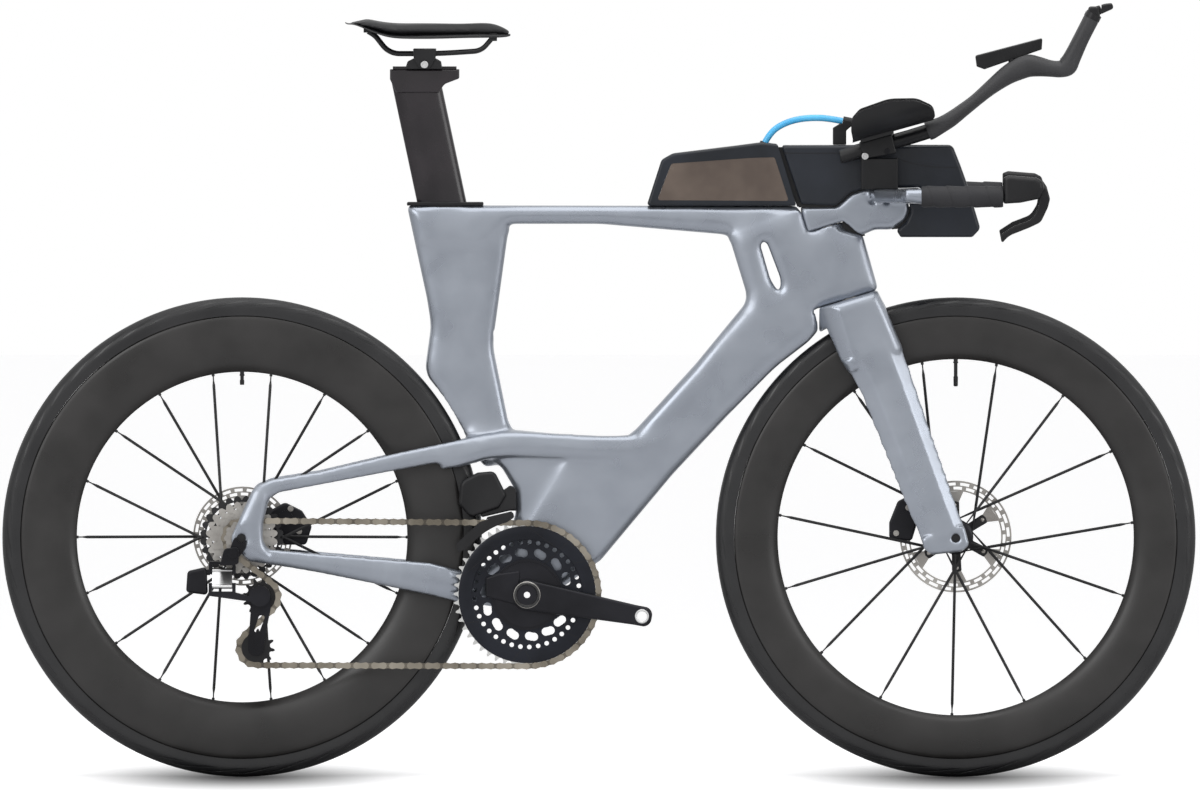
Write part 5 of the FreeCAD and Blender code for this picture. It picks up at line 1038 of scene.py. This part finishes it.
# smooth dark face of the big ring with a few engraved lines, cap and pedal eye
ringSettings = {"inner": 77.5, "outer": 96.6, "segments": 100, "face": -48.55,
                "lines": [(88, 60, 78), (52, 66, 38), (164, 128, 0), (258, 264, 0), (273, 268, 0),
                          (320, 316, 0), (205, 209, 0), (30, 34, 0)]}


def makeRingFace():
    face = slottedRing("ringFace", bracket, [ringSettings["inner"], ringSettings["inner"] + 0.8,
                                             (ringSettings["inner"] + ringSettings["outer"]) / 2,
                                             ringSettings["outer"] - 1.6, ringSettings["outer"]],
                       ringSettings["segments"], lambda row, k: False,
                       ringSettings["face"] - 0.35, ringSettings["face"], toothMetal, "crank")
    for vertex in face.data.vertices:
        spot = vertex.co
        reach = math.hypot(spot.x * 1000 - bracket[0], spot.z * 1000 - bracket[1])
        inside = ringSettings["inner"] + 0.5 < reach < ringSettings["outer"] - 1
        if spot.y < (ringSettings["face"] - 0.2) / 1000 and inside:
            spot.y -= 0.0005
    smoothShade(face, 30)
    for i, (outside, inside, inner) in enumerate(ringSettings["lines"]):
        start = around(bracket, ringSettings["outer"] - 2.5, outside)
        end = around(bracket, inner or ringSettings["inner"] + 1.5, inside)
        run = (Vector(end) - Vector(start)).normalized()
        side = Vector((-run.y, run.x)) * 0.35
        corners = [Vector(start) + side, Vector(end) + side, Vector(end) - side,
                   Vector(start) - side]
        outlinePlate("ringLine%d" % i, [tuple(c) for c in corners], ringSettings["face"] - 1.0,
                     ringSettings["face"] - 0.3, satinBlack, "crank")


def makeCrankTrims():
    spinPiece("crankCap", [(17.6, -71.7), (17.6, -73.6), (16.9, -74.2), (15.2, -74.2),
                           (14.4, -73.4), (13.8, -72.6), (9, -72.3), (5.2, -72.2), (4.6, -71.7)],
              bracket, glossBlack, "crank", 64, 30)
    spinPiece("crankEdge", [(18.9, -71.6), (18.9, -72.4), (18.2, -72.9), (17.7, -72.4),
                            (17.7, -71.6)], bracket, steel, "crank", 64, 40)
    eye = around(bracket, 165, -10.5)
    spinPiece("pedalEye", [(7.2, -58.5), (7.2, -72.2), (8.0, -72.7), (9.4, -72.7), (10, -72.1),
                           (10, -71.5), (8, -71.5), (8, -58.5)], eye, silverAlloy, "crank", 40, 30)


glossBlack = grainMaterial("glossBlack", (0.004, 0.004, 0.005), (0.009, 0.009, 0.010), 0.16,
                           coat=0.6, grain=900, bump=0.02, spread=0.04)
makeRingFace()
makeCrankTrims()


# chain of waisted plates, one inner and one outer link copied along the pins
chainSettings = {"pitch": 12.7, "plate": 0.62, "inner": 1.1, "outer": 1.78, "radius": 4.8,
                 "waist": 3.5, "ringLine": -47.5, "cogLine": -58.5, "straight": 2.5,
                 "guide": (-476, 256), "tension": (-484, 184)}


def chainWheels():
    def reach(teeth):
        return chainSettings["pitch"] / (2 * math.sin(math.pi / teeth))
    return [(bracket, reach(50), 50, 1, chainSettings["ringLine"]),
            (chainSettings["tension"], reach(12), 12, 1, chainSettings["cogLine"]),
            (chainSettings["guide"], reach(12), 12, -1, chainSettings["cogLine"]),
            (rearAxle, reach(12), 12, 1, chainSettings["cogLine"])]


def onWheel(wheel, angle):
    return Vector((wheel[0][0] + wheel[1] * math.cos(angle), wheel[4],
                   wheel[0][1] + wheel[1] * math.sin(angle)))


def tangentAngles(first, second):
    run = Vector(second[0]) - Vector(first[0])
    heading = math.atan2(run.y, run.x)
    change = first[1] - second[1] if first[3] == second[3] else first[1] + second[1]
    leave = heading + first[3] * (math.pi / 2 - math.asin(change / run.length))
    return leave, leave if first[3] == second[3] else leave + math.pi


def chainPins():
    wheels = chainWheels()
    lines = [tangentAngles(wheels[i], wheels[(i + 1) % 4]) for i in range(4)]
    pitch, arcs, runs = chainSettings["pitch"], [], []
    for i, wheel in enumerate(wheels):
        enter, leave = lines[i - 1][1], lines[i][0]
        turn = ((enter - leave) * wheel[3]) % (2 * math.pi)
        arcs.append((enter, turn, turn * wheel[2] / (2 * math.pi)))
        start, end = onWheel(wheel, leave), onWheel(wheels[(i + 1) % 4], lines[i][1])
        runs.append((start, end, (end - start).length / pitch))
    wrapped = sum(arc[2] for arc in arcs)
    straight = sum(run[2] for run in runs)
    links = 2 * round((wrapped + straight) / 2)
    stretch = (links - wrapped) / straight
    pins, begin = [], 0.0
    for i, wheel in enumerate(wheels):
        enter, turn, length = arcs[i]
        for k in range(math.ceil(begin), math.ceil(begin + length)):
            pins.append(onWheel(wheel, enter - wheel[3] * turn * (k - begin) / length))
        begin += length
        start, end, length = runs[i]
        near = chainSettings["straight"] / length
        length *= stretch
        for k in range(math.ceil(begin), min(math.ceil(begin + length), links)):
            share = (k - begin) / length
            spot = start + (end - start) * share
            slant = min(max((share - near) / (1 - 2 * near), 0), 1) if near < 0.4 else share
            spot.y = start.y + (end.y - start.y) * slant
            pins.append(spot)
        begin += length
    return pins


def makeLink(name, offset):
    radius, waist, pitch = chainSettings["radius"], chainSettings["waist"], chainSettings["pitch"]
    spots = []
    for k in range(7):
        turn = math.radians(120 - 40 * k)
        spots.append((pitch + radius * math.cos(turn), radius * math.sin(turn)))
    spots.append((pitch / 2, -waist))
    for k in range(7):
        turn = math.radians(-60 - 40 * k)
        spots.append((radius * math.cos(turn), radius * math.sin(turn)))
    spots.append((pitch / 2, waist))
    plates = []
    for side in (1, -1):
        low, high = sorted((side * offset, side * (offset + chainSettings["plate"])))
        plate = startCircle(name, len(spots), "NGON")
        for vertex, (x, z) in zip(plate.data.vertices, spots):
            vertex.co = mm(x, low, z)
        bpy.ops.object.mode_set(mode="EDIT")
        bpy.ops.mesh.select_all(action="SELECT")
        bpy.ops.mesh.extrude_region_move(
            TRANSFORM_OT_translate={"value": (0, (high - low) / 1000, 0)})
        bpy.ops.object.mode_set(mode="OBJECT")
        plates.append(plate)
    for at in (0, pitch):
        pin = startCircle(name, 10, "NGON")
        reach = chainSettings["outer"] + chainSettings["plate"] + 0.15
        for k, vertex in enumerate(pin.data.vertices):
            turn = 2 * math.pi * k / 10
            radius = 1.9 if offset > 1.5 else 3.6
            half = reach if offset > 1.5 else 1.05
            vertex.co = mm(at + radius * math.cos(turn), -half, radius * math.sin(turn))
        bpy.ops.object.mode_set(mode="EDIT")
        bpy.ops.mesh.select_all(action="SELECT")
        bpy.ops.mesh.extrude_region_move(TRANSFORM_OT_translate={"value": (0, 2 * half / 1000, 0)})
        bpy.ops.object.mode_set(mode="OBJECT")
        plates.append(pin)
    link = joinPieces(plates, name)
    fixNormals(link)
    # inner links and rollers take the darker copy of the steel as painted shade
    dress(link, chainSteel if offset > 1.5 else linkSteel)
    return link


def makeChain():
    pins = chainPins()
    patterns = [makeLink("innerLink", chainSettings["inner"]),
                makeLink("outerLink", chainSettings["outer"])]
    copies = []
    for i, start in enumerate(pins):
        run = pins[(i + 1) % len(pins)] - start
        copy = copyPiece(patterns[i % 2], "link%d" % i)
        along = run.normalized()
        upward = along.cross(Vector((0, 1, 0))).normalized() * -1
        across = upward.cross(along)
        turned = Matrix((along, across, upward)).transposed().to_4x4()
        stretch = Matrix.Scale(run.length / chainSettings["pitch"], 4, (1, 0, 0))
        copy.data.transform(Matrix.Translation(start / 1000) @ turned @ stretch)
        copies.append(copy)
    for pattern in patterns:
        bpy.data.objects.remove(pattern)
    chain = joinPieces(copies, "chainLinks")
    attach(chain, "frame")
    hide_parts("chain")
    print("chain of", len(pins), "links")


makeChain()
print("cockpit, pads and trims made")


# dark plates as painted shade in the gaps between the boxes, the stem and the head, and the moulded
# seams
gapShadePlates = [
    ("boxGapShade", [(250, 890), (262, 890), (292, 806), (280, 806)], 14, "frame"),
    ("stemGapShade", [(282, 805), (336, 805), (371, 826), (382, 829), (382, 837), (368, 835),
                  (334, 813), (282, 813)], 16, "steering"),
    ("noseGapShade", [(442, 806), (446, 800), (445, 791), (438, 782), (424, 775), (414, 774),
                  (414, 781), (424, 783), (432, 789), (437, 797), (437, 806)], 16, "steering"),
    ("headGapShade", [(344, 786), (374, 772), (376, 765), (366, 763), (344, 776)], 12, "steering"),
]
seams = {"lid": [(262, 881.9), (345, 881.9)],
         "front": [(419, 876), (432, 870.5), (446, 866.6), (460, 864), (474, 862.2), (508, 861.4)]}


def makeSeam(name, line, face, thick=0.45):
    upper = [(x, z + thick) for x, z in line]
    lower = [(x, z - thick) for x, z in reversed(line)]
    for side in (-1, 1):
        low, high = sorted((side * (face - 1), side * (face + 0.12)))
        outlinePlate("%sSeam%d" % (name, side), upper + lower, low, high, satinBlack, "steering")


for name, outline, half, body in gapShadePlates:
    # each dark plate is painted shade filling a gap between two parts
    outlinePlate(name, outline, -half, half, satinBlack, body)
noseHalf = max(abs(vertex.co.y) for vertex in nodes["nose_box"].data.vertices) * 1000
for name in ("lid", "front"):
    makeSeam(name, seams[name], noseHalf)
print("seals and seams made")


cameraSettings = {"distance": 60.0, "azimuth": 0.35, "elevation": 1.2, "width": 1.695,
                  "target": (0.0016, 0.0, 0.532)}


def makeCamera():
    azimuth = math.radians(cameraSettings["azimuth"])
    elevation = math.radians(cameraSettings["elevation"])
    distance = cameraSettings["distance"]
    target = Vector(cameraSettings["target"])
    back = Vector((math.sin(azimuth) * math.cos(elevation),
                   -math.cos(azimuth) * math.cos(elevation), math.sin(elevation)))
    bpy.ops.object.camera_add(location=target + back * distance)
    camera = bpy.context.object
    camera.rotation_mode = "QUATERNION"
    camera.rotation_quaternion = (-back).to_track_quat("-Z", "Y")
    camera.data.sensor_width = 36.0
    camera.data.lens = 36.0 * distance / cameraSettings["width"]
    camera.data.clip_start = 1.0
    camera.data.clip_end = 200.0
    bpy.context.scene.camera = camera


floorGlow = 0.46
# size and strength of the painted shadow under each tyre
contactShade = {"long": 0.30, "deep": 0.95, "dark": 0.97}


# floor that reads white, with a painted soft shadow where each tyre stands
def makeFloor():
    deselect()
    bpy.ops.mesh.primitive_plane_add(size=60, location=(0, 0, 0))
    floor = bpy.context.object
    floor.name = "floor"
    material, shader = newMaterial("floorPale", (0.86, 0.86, 0.87), 0.9)
    shader.inputs["Emission Color"].default_value = (1, 1, 1, 1)
    tree = material.node_tree
    place = tree.nodes.new("ShaderNodeTexCoord")
    shades = []
    for axle in (frontAxle, rearAxle):
        shift = tree.nodes.new("ShaderNodeMapping")
        shift.vector_type = "TEXTURE"
        shift.inputs["Location"].default_value = (axle[0] / 1000, 0, 0)
        shift.inputs["Scale"].default_value = (contactShade["long"], contactShade["deep"], 1)
        tree.links.new(place.outputs["Object"], shift.inputs["Vector"])
        reach = tree.nodes.new("ShaderNodeVectorMath")
        reach.operation = "LENGTH"
        tree.links.new(shift.outputs["Vector"], reach.inputs[0])
        shades.append(reach.outputs["Value"])
    nearest = tree.nodes.new("ShaderNodeMath")
    nearest.operation = "MINIMUM"
    tree.links.new(shades[0], nearest.inputs[0])
    tree.links.new(shades[1], nearest.inputs[1])
    # painted shadow: base colour and glow darken towards each tyre's contact
    fade = tree.nodes.new("ShaderNodeMapRange")
    fade.interpolation_type = "SMOOTHSTEP"
    fade.inputs["From Max"].default_value = 1.0
    fade.inputs["To Min"].default_value = 1 - contactShade["dark"]
    fade.inputs["To Max"].default_value = 1.0
    tree.links.new(nearest.outputs[0], fade.inputs["Value"])
    pale = tree.nodes.new("ShaderNodeVectorMath")
    pale.operation = "SCALE"
    pale.inputs[0].default_value = (0.86, 0.86, 0.87)
    tree.links.new(fade.outputs["Result"], pale.inputs["Scale"])
    tree.links.new(pale.outputs["Vector"], shader.inputs["Base Color"])
    path = tree.nodes.new("ShaderNodeLightPath")
    seen = tree.nodes.new("ShaderNodeMath")
    seen.operation = "MULTIPLY"
    seen.inputs[1].default_value = floorGlow
    tree.links.new(path.outputs["Is Camera Ray"], seen.inputs[0])
    glow = tree.nodes.new("ShaderNodeMath")
    glow.operation = "MULTIPLY"
    tree.links.new(seen.outputs[0], glow.inputs[0])
    tree.links.new(fade.outputs["Result"], glow.inputs[1])
    tree.links.new(glow.outputs[0], shader.inputs["Emission Strength"])
    dress(floor, material)


def makeWorld():
    world = bpy.data.worlds.new("studio")
    bpy.context.scene.world = world
    world.use_nodes = True
    tree = world.node_tree
    background = tree.nodes["Background"]
    path = tree.nodes.new("ShaderNodeLightPath")
    seen = tree.nodes.new("ShaderNodeMath")
    seen.operation = "MAXIMUM"
    seenThrough = tree.nodes.new("ShaderNodeMath")
    seenThrough.operation = "MAXIMUM"
    tree.links.new(path.outputs["Is Camera Ray"], seen.inputs[0])
    tree.links.new(path.outputs["Is Glossy Ray"], seen.inputs[1])
    tree.links.new(seen.outputs[0], seenThrough.inputs[0])
    tree.links.new(path.outputs["Is Transmission Ray"], seenThrough.inputs[1])
    spread = tree.nodes.new("ShaderNodeMapRange")
    spread.inputs["To Min"].default_value = 0.55
    spread.inputs["To Max"].default_value = 1.0
    tree.links.new(seenThrough.outputs[0], spread.inputs["Value"])
    background.inputs["Color"].default_value = (1, 1, 1, 1)
    tree.links.new(spread.outputs["Result"], background.inputs["Strength"])


lamps = {
    "overhead": {"location": (0.2, -0.8, 3.6), "size": 3.4, "power": 60, "aim": (0, 0, 0.5)},
    "front": {"location": (-2.6, -4.2, 2.4), "size": 2.6, "power": 60, "aim": (0, 0, 0.5)},
    "side": {"location": (3.4, -3.0, 1.6), "size": 2.0, "power": 30, "aim": (0, 0, 0.5)},
}


def makeLamps():
    for name, lamp in lamps.items():
        bpy.ops.object.light_add(type="AREA", location=lamp["location"])
        light = bpy.context.object
        light.name = name
        light.data.size = lamp["size"]
        light.data.energy = lamp["power"]
        aim = Vector(lamp["aim"]) - light.location
        light.rotation_mode = "QUATERNION"
        light.rotation_quaternion = aim.to_track_quat("-Z", "Y")


makeCamera()
makeFloor()
makeWorld()
makeLamps()
bpy.context.scene.view_settings.view_transform = "Standard"
print("camera, floor and light made")
